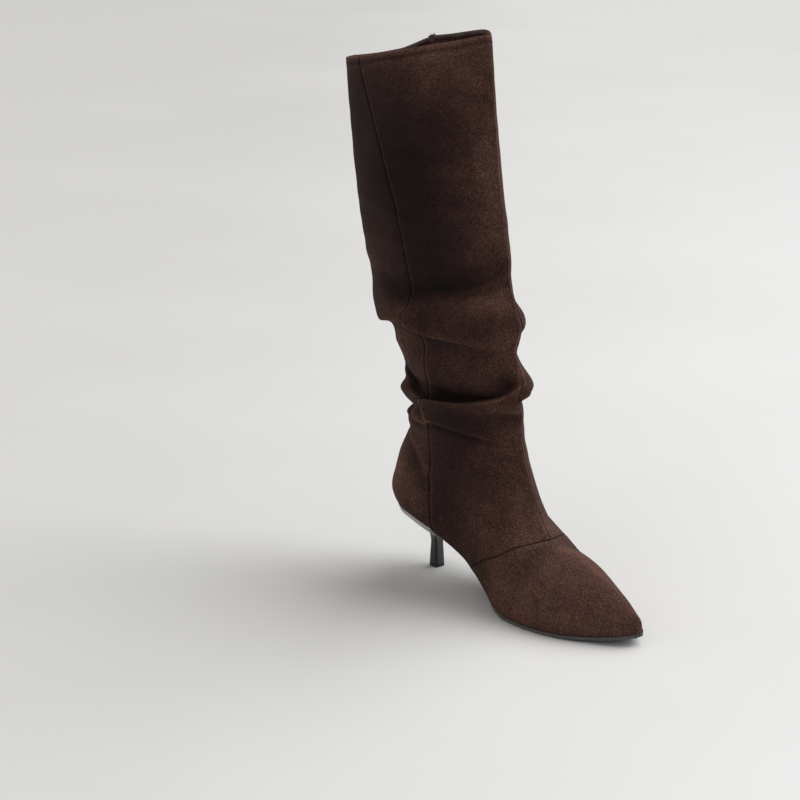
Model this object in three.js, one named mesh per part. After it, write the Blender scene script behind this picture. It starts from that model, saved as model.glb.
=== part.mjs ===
// A slouched knee-high boot for the left foot, on a slim kitten heel.
// Millimetres: +X runs towards the toe, +Y towards the outer side of the foot, +Z up from the floor.
import * as THREE from "three";
import { mergeVertices } from "three/addons/utils/BufferGeometryUtils.js";

// Driving sizes
const footLength = 242; // back of the counter to the tip of the toe, along the floor
const ballWidth = 83; // the upper across the ball of the foot
const bootHeight = 400; // floor to the front of the collar
const heelHeight = 48; // floor to the back of the seat
const toeSpring = 8; // floor to the underside of the sole at the toe
const upperWall = 1.6; // suede and lining together
const soleThickness = 2.6; // the outsole under the ball
const soleEdge = 0.7; // how far the outsole stands out past the upper at the forefoot
const insoleThickness = 2;
const fitGap = 0.3; // clearance between pieces that meet
const heelSetting = 37; // back of the counter to the middle of the heel tip
const heelTipLength = 8.6; // along the boot
const heelTipWidth = 8.6; // across it
const heelTipThickness = 3;
const seatLength = 58; // back of the counter to the front edge of the heel cup
const cupDepth = 9; // from the seat down to where the cup has become the stem

// How finely the surfaces are faceted
const stepsAround = 48;
const stepsUp = 52;

// The last seen from above and its underside: `along` is a share of footLength, `medial` and `lateral` are
// half widths as shares of ballWidth, and the underside rises from the ball by `heel` of the seat's rise
// and by `toe` of toeSpring.
const lastRows = [
  { along: 0.0, medial: 0.0, lateral: 0.0, heel: 1, toe: 0 },
  { along: 0.045, medial: 0.232, lateral: 0.232, heel: 0.989, toe: 0 },
  { along: 0.11, medial: 0.32, lateral: 0.32, heel: 0.952, toe: 0 },
  { along: 0.19, medial: 0.337, lateral: 0.342, heel: 0.867, toe: 0 },
  { along: 0.285, medial: 0.32, lateral: 0.352, heel: 0.739, toe: 0 },
  { along: 0.36, medial: 0.318, lateral: 0.38, heel: 0.596, toe: 0 },
  { along: 0.43, medial: 0.34, lateral: 0.425, heel: 0.393, toe: 0 },
  { along: 0.5, medial: 0.39, lateral: 0.475, heel: 0.165, toe: 0 },
  { along: 0.555, medial: 0.45, lateral: 0.502, heel: 0.031, toe: 0 },
  { along: 0.61, medial: 0.488, lateral: 0.508, heel: 0, toe: 0 },
  { along: 0.665, medial: 0.495, lateral: 0.492, heel: 0, toe: 0 },
  { along: 0.725, medial: 0.48, lateral: 0.45, heel: 0, toe: 0 },
  { along: 0.785, medial: 0.438, lateral: 0.39, heel: 0, toe: 0.02 },
  { along: 0.84, medial: 0.37, lateral: 0.318, heel: 0, toe: 0.14 },
  { along: 0.89, medial: 0.285, lateral: 0.246, heel: 0, toe: 0.3 },
  { along: 0.94, medial: 0.195, lateral: 0.172, heel: 0, toe: 0.57 },
  { along: 0.975, medial: 0.12, lateral: 0.11, heel: 0, toe: 0.83 },
  { along: 1.0, medial: 0.0, lateral: 0.0, heel: 0, toe: 1 },
];

// Rings around the boot, from the edge where it meets the sole up to the rim. `front` and `back` are the
// ring's ends as shares of footLength; `frontRise` and `backRise` their heights above the underside, as
// shares of bootHeight; `width` is its half width as a share of ballWidth, taken up as `shaft` goes from 0,
// the last's own section, to 1, the shaft's oval; `keen` draws the ring out to an edge at the front seam.
const ringRows = [
  { at: 0.0, front: 0.996, frontRise: 0.0, back: 0.01, backRise: 0.0, width: 0.33, shaft: 0, keen: 0 },
  { at: 0.02, front: 1.0, frontRise: 0.011, back: 0.003, backRise: 0.016, width: 0.33, shaft: 0, keen: 0 },
  { at: 0.04, front: 0.992, frontRise: 0.022, back: 0.0, backRise: 0.03, width: 0.33, shaft: 0, keen: 0 },
  { at: 0.065, front: 0.959, frontRise: 0.037, back: 0.002, backRise: 0.048, width: 0.33, shaft: 0, keen: 0 },
  { at: 0.1, front: 0.9, frontRise: 0.063, back: 0.007, backRise: 0.066, width: 0.33, shaft: 0, keen: 0 },
  { at: 0.14, front: 0.806, frontRise: 0.085, back: 0.016, backRise: 0.084, width: 0.33, shaft: 0.02, keen: 0.08 },
  { at: 0.18, front: 0.71, frontRise: 0.1, back: 0.027, backRise: 0.101, width: 0.33, shaft: 0.1, keen: 0.25 },
  { at: 0.21, front: 0.645, frontRise: 0.11, back: 0.04, backRise: 0.117, width: 0.33, shaft: 0.25, keen: 0.5 },
  { at: 0.24, front: 0.606, frontRise: 0.1375, back: 0.052, backRise: 0.132, width: 0.335, shaft: 0.45, keen: 0.75 },
  { at: 0.27, front: 0.567, frontRise: 0.176, back: 0.06, backRise: 0.148, width: 0.345, shaft: 0.7, keen: 0.92 },
  { at: 0.3, front: 0.535, frontRise: 0.221, back: 0.065, backRise: 0.162, width: 0.36, shaft: 0.9, keen: 1 },
  { at: 0.34, front: 0.511, frontRise: 0.2735, back: 0.062, backRise: 0.18, width: 0.375, shaft: 1, keen: 1 },
  { at: 0.4, front: 0.5, frontRise: 0.32, back: 0.058, backRise: 0.215, width: 0.39, shaft: 1, keen: 1 },
  { at: 0.46, front: 0.508, frontRise: 0.36, back: 0.048, backRise: 0.25, width: 0.4, shaft: 1, keen: 1 },
  { at: 0.53, front: 0.495, frontRise: 0.405, back: 0.03, backRise: 0.287, width: 0.405, shaft: 1, keen: 1 },
  { at: 0.6, front: 0.482, frontRise: 0.44, back: 0.0, backRise: 0.323, width: 0.41, shaft: 1, keen: 1 },
  { at: 0.69, front: 0.472, frontRise: 0.5, back: -0.05, backRise: 0.375, width: 0.43, shaft: 1, keen: 1 },
  { at: 0.76, front: 0.456, frontRise: 0.56, back: -0.108, backRise: 0.43, width: 0.44, shaft: 1, keen: 1 },
  { at: 0.84, front: 0.415, frontRise: 0.69, back: -0.16, backRise: 0.55, width: 0.44, shaft: 1, keen: 1 },
  { at: 0.92, front: 0.384, frontRise: 0.835, back: -0.2, backRise: 0.68, width: 0.41, shaft: 1, keen: 1 },
  { at: 1.0, front: 0.363, frontRise: 0.973, back: -0.231, backRise: 0.808, width: 0.373, shaft: 1, keen: 1 },
];

// The rim dips on the inner side and rises on the outer one: shares of bootHeight, at shares of a full turn
// from the front seam, the inner side below zero.
const rimRows = [
  { turn: -0.5, lift: 0.0 },
  { turn: -0.3, lift: -0.008 },
  { turn: -0.12, lift: -0.006 },
  { turn: 0.0, lift: 0.0 },
  { turn: 0.12, lift: 0.004 },
  { turn: 0.2, lift: 0.007 },
  { turn: 0.3, lift: -0.002 },
  { turn: 0.5, lift: 0.0 },
];

// The slouch of the shaft. A fold lies at `turn`, a share of a full turn from the front seam with the inner
// side below zero, fades over `spread` of a turn, and runs at `rise`, leaning by `slant` per full turn. It
// is `reach` high, stands out by `push` and sags by `drop`, all shares of bootHeight.
const foldRows = [
  { turn: -0.12, spread: 0.24, rise: 0.55, slant: 0.155, reach: 0.03, push: -0.014, drop: 0.0 },
  { turn: 0.2, spread: 0.2, rise: 0.56, slant: -0.05, reach: 0.03, push: -0.01, drop: 0.0 },
  { turn: -0.42, spread: 0.2, rise: 0.497, slant: 0.0, reach: 0.036, push: 0.024, drop: 0.024 },
  { turn: -0.22, spread: 0.14, rise: 0.498, slant: -0.2, reach: 0.034, push: 0.01, drop: 0.018 },
  { turn: 0.05, spread: 0.18, rise: 0.503, slant: 0.0, reach: 0.032, push: 0.015, drop: 0.004 },
  { turn: 0.3, spread: 0.2, rise: 0.485, slant: 0.04, reach: 0.035, push: 0.016, drop: 0.012 },
  { turn: -0.1, spread: 0.4, rise: 0.445, slant: 0.0, reach: 0.028, push: -0.008, drop: 0.0 },
  { turn: -0.2, spread: 0.24, rise: 0.372, slant: -0.03, reach: 0.014, push: -0.012, drop: 0.0 },
  { turn: -0.2, spread: 0.3, rise: 0.345, slant: -0.03, reach: 0.016, push: 0.01, drop: -0.008 },
  { turn: 0.07, spread: 0.13, rise: 0.394, slant: 0.03, reach: 0.028, push: 0.015, drop: 0.004 },
  { turn: -0.44, spread: 0.14, rise: 0.352, slant: 0.0, reach: 0.028, push: 0.013, drop: 0.005 },
  { turn: 0.3, spread: 0.18, rise: 0.39, slant: 0.06, reach: 0.03, push: 0.012, drop: 0.008 },
  { turn: 0.08, spread: 0.14, rise: 0.354, slant: 0.0, reach: 0.012, push: -0.006, drop: 0.0 },
  { turn: 0.08, spread: 0.14, rise: 0.332, slant: 0.0, reach: 0.018, push: 0.004, drop: 0.0 },
  { turn: -0.4, spread: 0.14, rise: 0.308, slant: 0.0, reach: 0.012, push: 0.006, drop: 0.003 },
  { turn: -0.45, spread: 0.2, rise: 0.272, slant: 0.0, reach: 0.016, push: -0.006, drop: 0.0 },
];

const clamp = (value, low, high) => Math.min(Math.max(value, low), high);
const mix = (a, b, share) => a + (b - a) * share;
const ease = (share) => share * share * (3 - 2 * share);

// A smooth curve through one column of a table, without overshoot between its rows.
function columnCurve(rows, inKey, outKey, inMap = (value) => value) {
  const xs = rows.map((row) => inMap(row[inKey]));
  const ys = rows.map((row) => row[outKey]);
  const steps = xs.slice(1).map((x, i) => (ys[i + 1] - ys[i]) / (x - xs[i]));
  const slopes = xs.map((x, i) => {
    if (i === 0) return steps[0];
    if (i === xs.length - 1) return steps[i - 1];
    if (steps[i - 1] * steps[i] <= 0) return 0;
    return (2 * steps[i - 1] * steps[i]) / (steps[i - 1] + steps[i]);
  });
  return (value) => {
    const x = clamp(inMap(value), xs[0], xs[xs.length - 1]);
    let i = 0;
    while (i < xs.length - 2 && x > xs[i + 1]) i += 1;
    const span = xs[i + 1] - xs[i];
    const s = (x - xs[i]) / span;
    const rest = 1 - s;
    return (
      ys[i] * (1 + 2 * s) * rest * rest +
      ys[i + 1] * s * s * (3 - 2 * s) +
      span * slopes[i] * s * rest * rest -
      span * slopes[i + 1] * s * s * rest
    );
  };
}

// Near its ends the outline turns like the end of an ellipse, so its shares are read as angles.
const endAngle = (share) => Math.acos(1 - 2 * clamp(share, 0, 1));
const outlineShare = {
  medial: columnCurve(lastRows, "along", "medial", endAngle),
  lateral: columnCurve(lastRows, "along", "lateral", endAngle),
};
const heelShare = columnCurve(lastRows, "along", "heel");
const toeShare = columnCurve(lastRows, "along", "toe");

// Height of the edge between upper and sole above the floor, at a share of the foot's length.
function featherHeight(along) {
  const treadTop = soleThickness + fitGap;
  return treadTop + heelShare(along) * (heelHeight - treadTop) + toeShare(along) * toeSpring;
}

const ring = {};
for (const key of Object.keys(ringRows[0])) ring[key] = columnCurve(ringRows, "at", key);
const rimLift = columnCurve(rimRows, "turn", "lift");
const footTop = ringRows.find((row) => row.shaft === 1).at;

// The ridge of the vamp, as a share of bootHeight above the underside. Behind the ankle it goes on up, so
// that the foot's section straightens by degrees into the shaft.
const ridgeRows = ringRows
  .filter((row, i) => i > 1 && row.at <= footTop)
  .map((row) => ({ along: row.front, rise: row.frontRise }))
  .reverse();
ridgeRows.unshift({ along: 0, rise: 6 }, { along: 0.4, rise: 1 });
ridgeRows.push({ along: ringRows[1].front, rise: ringRows[1].frontRise });
const ridgeShare = columnCurve(ridgeRows, "along", "rise");

// A point of the boot before the folds: `at` goes from the sole to the rim, `turn` round from the front.
function smoothPoint(at, turn) {
  const front = ring.front(at);
  const back = ring.back(at);
  const keen = ring.keen(at);
  const share = (1 + Math.cos(turn)) / 2;
  const along = mix(back, front, share);
  const side = Math.sin(turn) < 0 ? "medial" : "lateral";
  const lift = mix(ring.backRise(at), ring.frontRise(at), share) * bootHeight;
  const level = mix(featherHeight(0), featherHeight(1), share);
  const lower = featherHeight(clamp(along, 0, 1));
  const rim = rimLift(turn / (2 * Math.PI)) * bootHeight * ease(clamp((at - 0.6) / 0.4, 0, 1));
  const z = lift + rim + mix(lower, level, ease(clamp(at / footTop, 0, 1)));

  // The last's own section: its outline narrows over the height of the vamp's ridge
  const plan = outlineShare[side](clamp((along - back) / (1 - back), 0, 1));
  const climb = clamp(lift / (ridgeShare(clamp(along, 0, 1)) * bootHeight), 0, 1);
  const arch = Math.pow(1 - Math.pow(climb, mix(1.9, 1.25, keen)), mix(0.6, 0.95, keen));
  const tuck = 1 - 0.05 * Math.pow(1 - clamp(lift / (0.035 * bootHeight), 0, 1), 2);
  const last = plan * arch * tuck;

  // The shaft's oval
  const belly = 4 * share * (1 - share);
  const oval = ring.width(at) * Math.pow(belly, mix(0.5, mix(0.5, 0.82, keen), share));
  const y = mix(last, oval, ring.shaft(at)) * ballWidth * (side === "medial" ? -1 : 1);
  return new THREE.Vector3(along * footLength, share === 0 || share === 1 ? 0 : y, z);
}

const bump = (distance) => Math.exp(-distance * distance);

// A point of the outer surface, with the folds.
function upperPoint(at, turn) {
  const point = smoothPoint(at, turn);
  const depth = (ring.front(at) - ring.back(at)) * footLength;
  const width = 2 * ring.width(at) * ballWidth;
  const outward = new THREE.Vector3(Math.cos(turn) / depth, Math.sin(turn) / width, 0).normalize();
  const height = point.z;
  for (const fold of foldRows) {
    let around = turn / (2 * Math.PI) - fold.turn;
    around -= Math.round(around);
    const middle = fold.rise + fold.slant * around;
    const weight = bump(around / (0.6 * fold.spread)) * bump((height / bootHeight - middle) / (0.7 * fold.reach));
    point.addScaledVector(outward, fold.push * weight * bootHeight);
    point.z -= fold.drop * weight * bootHeight;
  }
  return point;
}

// The inner surface lies one wall inside the outer one, square to it.
function liningPoint(at, turn) {
  const step = 1e-3;
  const up = upperPoint(Math.min(at + step, 1), turn).sub(upperPoint(Math.max(at - step, 0), turn));
  const round = upperPoint(at, turn + step).sub(upperPoint(at, turn - step));
  const inward = up.cross(round).normalize();
  return upperPoint(at, turn).addScaledVector(inward, upperWall);
}

function solidFrom(points, faces) {
  const geometry = new THREE.BufferGeometry();
  const coordinates = points.flatMap((point) => point.toArray());
  geometry.setAttribute("position", new THREE.Float32BufferAttribute(coordinates, 3));
  geometry.setIndex(faces);
  return mergeVertices(geometry, 1e-3);
}

function upperGeometry() {
  const points = [];
  const faces = [];
  for (let level = 0; level <= stepsUp; level += 1) {
    for (const surface of [upperPoint, liningPoint]) {
      for (let step = 0; step < stepsAround; step += 1) {
        points.push(surface(level / stepsUp, (step / stepsAround - 0.5) * 2 * Math.PI));
      }
    }
  }
  const corner = (level, layer, step) => (2 * level + layer) * stepsAround + (step % stepsAround);
  const quad = (a, b, c, d) => faces.push(a, b, c, a, c, d);
  for (let step = 0; step < stepsAround; step += 1) {
    for (let level = 0; level < stepsUp; level += 1) {
      quad(
        corner(level, 0, step),
        corner(level, 0, step + 1),
        corner(level + 1, 0, step + 1),
        corner(level + 1, 0, step),
      );
      quad(
        corner(level, 1, step + 1),
        corner(level, 1, step),
        corner(level + 1, 1, step),
        corner(level + 1, 1, step + 1),
      );
    }
    quad(corner(0, 1, step), corner(0, 1, step + 1), corner(0, 0, step + 1), corner(0, 0, step));
    quad(
      corner(stepsUp, 0, step),
      corner(stepsUp, 0, step + 1),
      corner(stepsUp, 1, step + 1),
      corner(stepsUp, 1, step),
    );
  }
  return solidFrom(points, faces);
}

// A point of the edge where upper and sole meet, set out from it in plan; `drop` lowers it.
function edgePoint(turn, outset, drop) {
  const here = upperPoint(0, turn);
  const along = upperPoint(0, turn + 1e-3).sub(upperPoint(0, turn - 1e-3));
  const outward = new THREE.Vector3(along.y, -along.x, 0).normalize();
  here.addScaledVector(outward, outset);
  here.z = featherHeight(clamp(here.x / footLength, 0, 1)) - drop;
  return here;
}

// A plate between loops of points, top loop first. Each loop runs from the inner side round the toe to the
// outer one, so that its two halves pair up across the plate.
function plateGeometry(loops) {
  const count = loops[0].length;
  const faces = [];
  for (let layer = 0; layer + 1 < loops.length; layer += 1) {
    for (let i = 0; i < count; i += 1) {
      const a = layer * count + i;
      const b = layer * count + ((i + 1) % count);
      faces.push(a, a + count, b, b, a + count, b + count);
    }
  }
  const last = (loops.length - 1) * count;
  for (let i = 0, j = count - 1; i + 1 < j; i += 1, j -= 1) {
    faces.push(i, i + 1, j);
    faces.push(last + i, last + j, last + i + 1);
    if (i + 1 < j - 1) {
      faces.push(i + 1, j - 1, j);
      faces.push(last + i + 1, last + j, last + j - 1);
    }
  }
  return solidFrom(loops.flat(), faces);
}

// The outsole from the heel breast to the toe: `edge` is a share of soleEdge, `thick` of soleThickness.
const soleRows = [
  { along: 0.2, edge: -2.2, thick: 0.75 },
  { along: 0.42, edge: -2.2, thick: 0.75 },
  { along: 0.54, edge: -0.8, thick: 0.85 },
  { along: 0.62, edge: 0.7, thick: 1 },
  { along: 0.72, edge: 1, thick: 1 },
  { along: 1.0, edge: 1, thick: 1 },
];
const soleOut = columnCurve(soleRows, "along", "edge");
const soleThick = columnCurve(soleRows, "along", "thick");

function outsoleGeometry() {
  const breast = (seatLength + fitGap) / footLength;
  const share = (breast - ringRows[0].back) / (ringRows[0].front - ringRows[0].back);
  const breastTurn = Math.acos(2 * share - 1);
  const steps = 2 * Math.round(0.4 * stepsAround);
  const bevel = 0.3 * soleThickness;
  const loop = (inset, drop) => {
    const points = [];
    for (let step = 0; step <= steps; step += 1) {
      const turn = mix(-breastTurn, breastTurn, step / steps);
      const along = upperPoint(0, turn).x / footLength;
      const full = soleThick(along) * soleThickness;
      const point = edgePoint(turn, soleOut(along) * soleEdge - inset, fitGap + Math.min(drop, full));
      if (step === 0 || step === steps) point.x = breast * footLength;
      points.push(point);
    }
    return points;
  };
  const side = (drop) => loop(0, drop);
  const under = loop(bevel, soleThickness);
  const wall = side(0).map((point, i) => {
    const lowest = under[i].z + bevel;
    return new THREE.Vector3(point.x, point.y, Math.min(lowest, point.z - 0.3 * bevel));
  });
  return plateGeometry([side(0), wall, under]);
}

function insoleGeometry() {
  const loop = (drop) => {
    const points = [];
    for (let step = 1; step < stepsAround; step += 1) {
      const turn = (step / stepsAround - 0.5) * 2 * Math.PI;
      points.push(edgePoint(turn, -upperWall - 2.4 * fitGap, drop));
    }
    return points;
  };
  return plateGeometry([loop(-fitGap - insoleThickness), loop(-fitGap)]);
}

// The heel's stem, from the floor up: `rise` is a share of heelHeight, `length` and `width` of the tip's.
const stemRows = [
  { rise: 0.0, length: 1, width: 1 },
  { rise: 0.18, length: 0.92, width: 0.95 },
  { rise: 0.38, length: 0.72, width: 0.92 },
  { rise: 0.62, length: 0.6, width: 0.94 },
];
const stemLength = columnCurve(stemRows, "rise", "length");
const stemWidth = columnCurve(stemRows, "rise", "width");

// A section of the stem, a rounded rectangle, at an angle about its middle.
function stemPoint(z, angle) {
  const rise = z / heelHeight;
  const a = (stemLength(rise) * heelTipLength) / 2;
  const b = (stemWidth(rise) * heelTipWidth) / 2;
  const flat = 7;
  const reach =
    Math.pow(Math.abs(Math.cos(angle) / a), flat) + Math.pow(Math.abs(Math.sin(angle) / b), flat);
  const radius = Math.pow(reach, -1 / flat);
  return new THREE.Vector3(heelSetting + radius * Math.cos(angle), radius * Math.sin(angle), z);
}

// The cup under the seat: how far it has drawn in to the stem at a share of cupDepth.
const cupRows = [
  { drop: 0, drawn: 0.02 },
  { drop: 0.2, drawn: 0.05 },
  { drop: 0.3, drawn: 0.3 },
  { drop: 0.4, drawn: 0.6 },
  { drop: 0.52, drawn: 0.82 },
  { drop: 0.7, drawn: 0.94 },
  { drop: 1, drawn: 1 },
];

// The heel's outline at the seat, from the inner front corner round the back to the outer one.
function seatOutline() {
  const seatShare = (seatLength / footLength - ringRows[0].back) / (ringRows[0].front - ringRows[0].back);
  const start = Math.acos(2 * seatShare - 1);
  const steps = 24;
  const points = [];
  for (let step = 0; step <= steps; step += 1) {
    const turn = mix(start, 2 * Math.PI - start, step / steps);
    const point = edgePoint(turn, 0, 0);
    if (step === 0 || step === steps) point.x = seatLength;
    points.push(point);
  }
  for (const across of [-0.5, 0, 0.5]) {
    points.push(new THREE.Vector3(seatLength, across * points[0].y, 0));
  }
  return points;
}

function heelGeometry() {
  const seat = seatOutline();
  const middle = new THREE.Vector3(heelSetting, 0, 0);
  const angles = seat.map((point) => Math.atan2(point.y - middle.y, point.x - middle.x));
  const rings = cupRows.map((row) =>
    seat.map((point, i) => {
      const stem = stemPoint(heelHeight, angles[i]);
      const drawn = new THREE.Vector3(mix(point.x, stem.x, row.drawn), mix(point.y, stem.y, row.drawn), 0);
      drawn.z = featherHeight(clamp(drawn.x / footLength, 0, 1)) - fitGap - row.drop * cupDepth;
      return drawn;
    }),
  );
  const bottom = heelTipThickness + fitGap;
  const neck = featherHeight(heelSetting / footLength) - fitGap - 1.25 * cupDepth;
  const sections = 7;
  for (let i = 0; i <= sections; i += 1) {
    const z = mix(neck, bottom, i / sections);
    rings.push(angles.map((angle) => stemPoint(z, angle)));
  }
  const top = middle.clone();
  top.z = featherHeight(heelSetting / footLength) - fitGap;
  return closedLoft(rings, top, new THREE.Vector3(heelSetting, 0, bottom));
}

// A loft through rings of points listed anticlockwise from above, top ring first, closed at both ends.
function closedLoft(rings, top, bottom) {
  const count = rings[0].length;
  const faces = [];
  rings.slice(1).forEach((lower, layer) => {
    for (let i = 0; i < count; i += 1) {
      const a = layer * count + i;
      const b = layer * count + ((i + 1) % count);
      faces.push(a, a + count, b, b, a + count, b + count);
    }
  });
  const last = (rings.length - 1) * count;
  const topIndex = rings.length * count;
  for (let i = 0; i < count; i += 1) {
    const next = (i + 1) % count;
    faces.push(i, next, topIndex, last + next, last + i, topIndex + 1);
  }
  return solidFrom([...rings.flat(), top, bottom], faces);
}

function heelTipGeometry() {
  const count = 24;
  const rings = [heelTipThickness, 0].map((z) =>
    Array.from({ length: count }, (unused, i) => stemPoint(z, (i / count) * 2 * Math.PI)),
  );
  const middle = (z) => new THREE.Vector3(heelSetting, 0, z);
  return closedLoft(rings, middle(heelTipThickness), middle(0));
}

const boot = new THREE.Group();
function add(name, geometry, material) {
  const mesh = new THREE.Mesh(geometry, new THREE.MeshStandardMaterial(material));
  mesh.name = name;
  boot.add(mesh);
  return mesh;
}
add("upper", upperGeometry(), { color: 0x3a241a, roughness: 0.95, metalness: 0 });
add("outsole", outsoleGeometry(), { color: 0x161414, roughness: 0.6, metalness: 0 });
add("insole", insoleGeometry(), { color: 0x3b2c24, roughness: 0.8, metalness: 0 });
add("heel", heelGeometry(), { color: 0x121112, roughness: 0.18, metalness: 0 });
add("heel_tip", heelTipGeometry(), { color: 0x0d0d0d, roughness: 0.7, metalness: 0 });

// Centred over its own footprint, standing on the floor
boot.updateMatrixWorld(true);
const box = new THREE.Box3().setFromObject(boot);
boot.position.set(-(box.min.x + box.max.x) / 2, -(box.min.y + box.max.y) / 2, -box.min.z);

export default boot;
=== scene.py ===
# A slouched knee-high boot in dark brown suede on a slim kitten heel, standing on a pale floor.
import bpy
import math
import numpy as np
from mathutils import Matrix, Vector


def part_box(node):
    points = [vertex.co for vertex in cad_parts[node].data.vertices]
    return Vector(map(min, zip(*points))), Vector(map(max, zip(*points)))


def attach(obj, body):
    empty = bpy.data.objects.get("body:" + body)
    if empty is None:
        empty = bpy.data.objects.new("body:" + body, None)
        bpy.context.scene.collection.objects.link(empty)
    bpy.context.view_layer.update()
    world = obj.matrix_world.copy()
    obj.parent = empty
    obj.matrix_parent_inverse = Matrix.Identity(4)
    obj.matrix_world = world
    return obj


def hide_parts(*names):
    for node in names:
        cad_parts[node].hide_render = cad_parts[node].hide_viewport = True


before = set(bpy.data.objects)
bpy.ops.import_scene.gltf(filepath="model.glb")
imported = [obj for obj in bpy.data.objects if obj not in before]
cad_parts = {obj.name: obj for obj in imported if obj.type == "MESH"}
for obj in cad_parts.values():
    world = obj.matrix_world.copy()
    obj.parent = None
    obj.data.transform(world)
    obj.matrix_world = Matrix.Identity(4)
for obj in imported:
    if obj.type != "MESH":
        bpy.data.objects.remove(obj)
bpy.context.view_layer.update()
bpy.context.scene.view_settings.view_transform = "Standard"
print("frame loaded")

# Sizes in millimetres, measured from the back of the counter: x towards the toe, y to the outer side, z up
bootSizes = {
    "footLength": 242.0, "ballWidth": 83.0, "bootHeight": 400.0, "heelHeight": 48.0, "toeSpring": 6.5,
    "upperWall": 1.6, "soleThickness": 2.6, "soleEdge": 0.7, "insoleThickness": 2.0, "fitGap": 0.3,
    "heelSetting": 37.0, "heelTipLength": 8.6, "heelTipWidth": 8.6, "heelTipThickness": 3.0,
    "seatLength": 58.0, "cupDepth": 9.0, "girth": 290.0,
}
tipLow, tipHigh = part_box("heel_tip")
rowOrigin = np.array([
    (tipLow.x + tipHigh.x) / 2 - bootSizes["heelSetting"] / 1000,
    (tipLow.y + tipHigh.y) / 2,
    0.0,
])

# along, medial and lateral half widths, then how far the underside rises at the heel and at the toe
lastRows = [
    (0.0, 0.0, 0.0, 1, 0), (0.045, 0.232, 0.232, 0.989, 0), (0.11, 0.32, 0.32, 0.952, 0),
    (0.19, 0.337, 0.342, 0.867, 0), (0.285, 0.32, 0.352, 0.739, 0), (0.36, 0.318, 0.38, 0.596, 0),
    (0.43, 0.34, 0.425, 0.393, 0), (0.5, 0.39, 0.475, 0.165, 0), (0.555, 0.45, 0.502, 0.031, 0),
    (0.61, 0.488, 0.508, 0, 0), (0.665, 0.495, 0.492, 0, 0), (0.725, 0.48, 0.45, 0, 0),
    (0.785, 0.438, 0.39, 0, 0.02), (0.84, 0.37, 0.318, 0, 0.14), (0.89, 0.285, 0.246, 0, 0.3),
    (0.94, 0.195, 0.172, 0, 0.57), (0.975, 0.12, 0.11, 0, 0.83), (1.0, 0.0, 0.0, 0, 1),
]
# at, front, its rise, back, its rise, half width, how far it is the shaft's oval, how keen its front is
ringRows = [
    (0.0, 0.996, 0.0, 0.01, 0.0, 0.33, 0, 0), (0.02, 1.0, 0.011, 0.003, 0.016, 0.33, 0, 0),
    (0.04, 0.992, 0.022, 0.0, 0.03, 0.33, 0, 0), (0.065, 0.959, 0.037, 0.002, 0.048, 0.33, 0, 0),
    (0.1, 0.9, 0.063, 0.007, 0.066, 0.33, 0, 0), (0.14, 0.806, 0.085, 0.016, 0.084, 0.33, 0.02, 0.08),
    (0.18, 0.71, 0.1, 0.027, 0.101, 0.33, 0.1, 0.25), (0.21, 0.645, 0.11, 0.04, 0.117, 0.33, 0.25, 0.5),
    (0.24, 0.606, 0.1375, 0.052, 0.132, 0.335, 0.45, 0.75),
    (0.27, 0.567, 0.176, 0.06, 0.148, 0.345, 0.7, 0.92), (0.3, 0.535, 0.221, 0.065, 0.162, 0.36, 0.9, 1),
    (0.34, 0.511, 0.2735, 0.062, 0.18, 0.375, 1, 1), (0.4, 0.5, 0.32, 0.058, 0.215, 0.39, 1, 1),
    (0.46, 0.508, 0.36, 0.048, 0.25, 0.4, 1, 1), (0.53, 0.495, 0.405, 0.03, 0.287, 0.405, 1, 1),
    (0.6, 0.482, 0.44, 0.0, 0.323, 0.41, 1, 1), (0.69, 0.472, 0.5, -0.05, 0.375, 0.43, 1, 1),
    (0.76, 0.456, 0.56, -0.108, 0.43, 0.44, 1, 1), (0.84, 0.415, 0.69, -0.16, 0.55, 0.44, 1, 1),
    (0.92, 0.384, 0.835, -0.2, 0.68, 0.41, 1, 1), (1.0, 0.363, 0.973, -0.231, 0.808, 0.373, 1, 1),
]
rimRows = [
    (-0.5, -0.005), (-0.3, -0.0115), (-0.12, -0.0085), (-0.04, -0.006), (0.0, -0.0075), (0.05, -0.01),
    (0.08, -0.0045), (0.12, 0.0035), (0.16, 0.0075), (0.2, 0.0085), (0.25, 0.009), (0.285, 0.0105),
    (0.3, 0.0085), (0.33, 0.0015), (0.36, -0.004), (0.42, -0.006), (0.5, -0.005),
]
# The main slouch: turn, spread, rise, slant, reach, push out, sag
foldRows = [
    (-0.12, 0.24, 0.55, 0.155, 0.03, -0.014, 0.0), (0.2, 0.2, 0.56, -0.05, 0.03, -0.01, 0.0),
    (-0.42, 0.2, 0.497, 0.0, 0.036, 0.024, 0.024), (-0.22, 0.14, 0.498, -0.2, 0.034, 0.01, 0.018),
    (0.05, 0.18, 0.503, 0.0, 0.032, 0.015, 0.004), (0.3, 0.2, 0.485, 0.04, 0.035, 0.016, 0.012),
    (-0.1, 0.4, 0.445, 0.0, 0.028, -0.008, 0.0), (-0.2, 0.24, 0.372, -0.03, 0.014, -0.012, 0.0),
    (-0.2, 0.3, 0.345, -0.03, 0.016, 0.01, -0.008), (0.07, 0.13, 0.394, 0.03, 0.028, 0.015, 0.004),
    (-0.44, 0.14, 0.352, 0.0, 0.028, 0.013, 0.005), (0.3, 0.18, 0.39, 0.06, 0.03, 0.012, 0.008),
    (0.08, 0.14, 0.354, 0.0, 0.012, -0.006, 0.0), (0.08, 0.14, 0.332, 0.0, 0.018, 0.004, 0.0),
    (-0.4, 0.14, 0.308, 0.0, 0.012, 0.006, 0.003), (-0.45, 0.2, 0.272, 0.0, 0.016, -0.006, 0.0),
]


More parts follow.
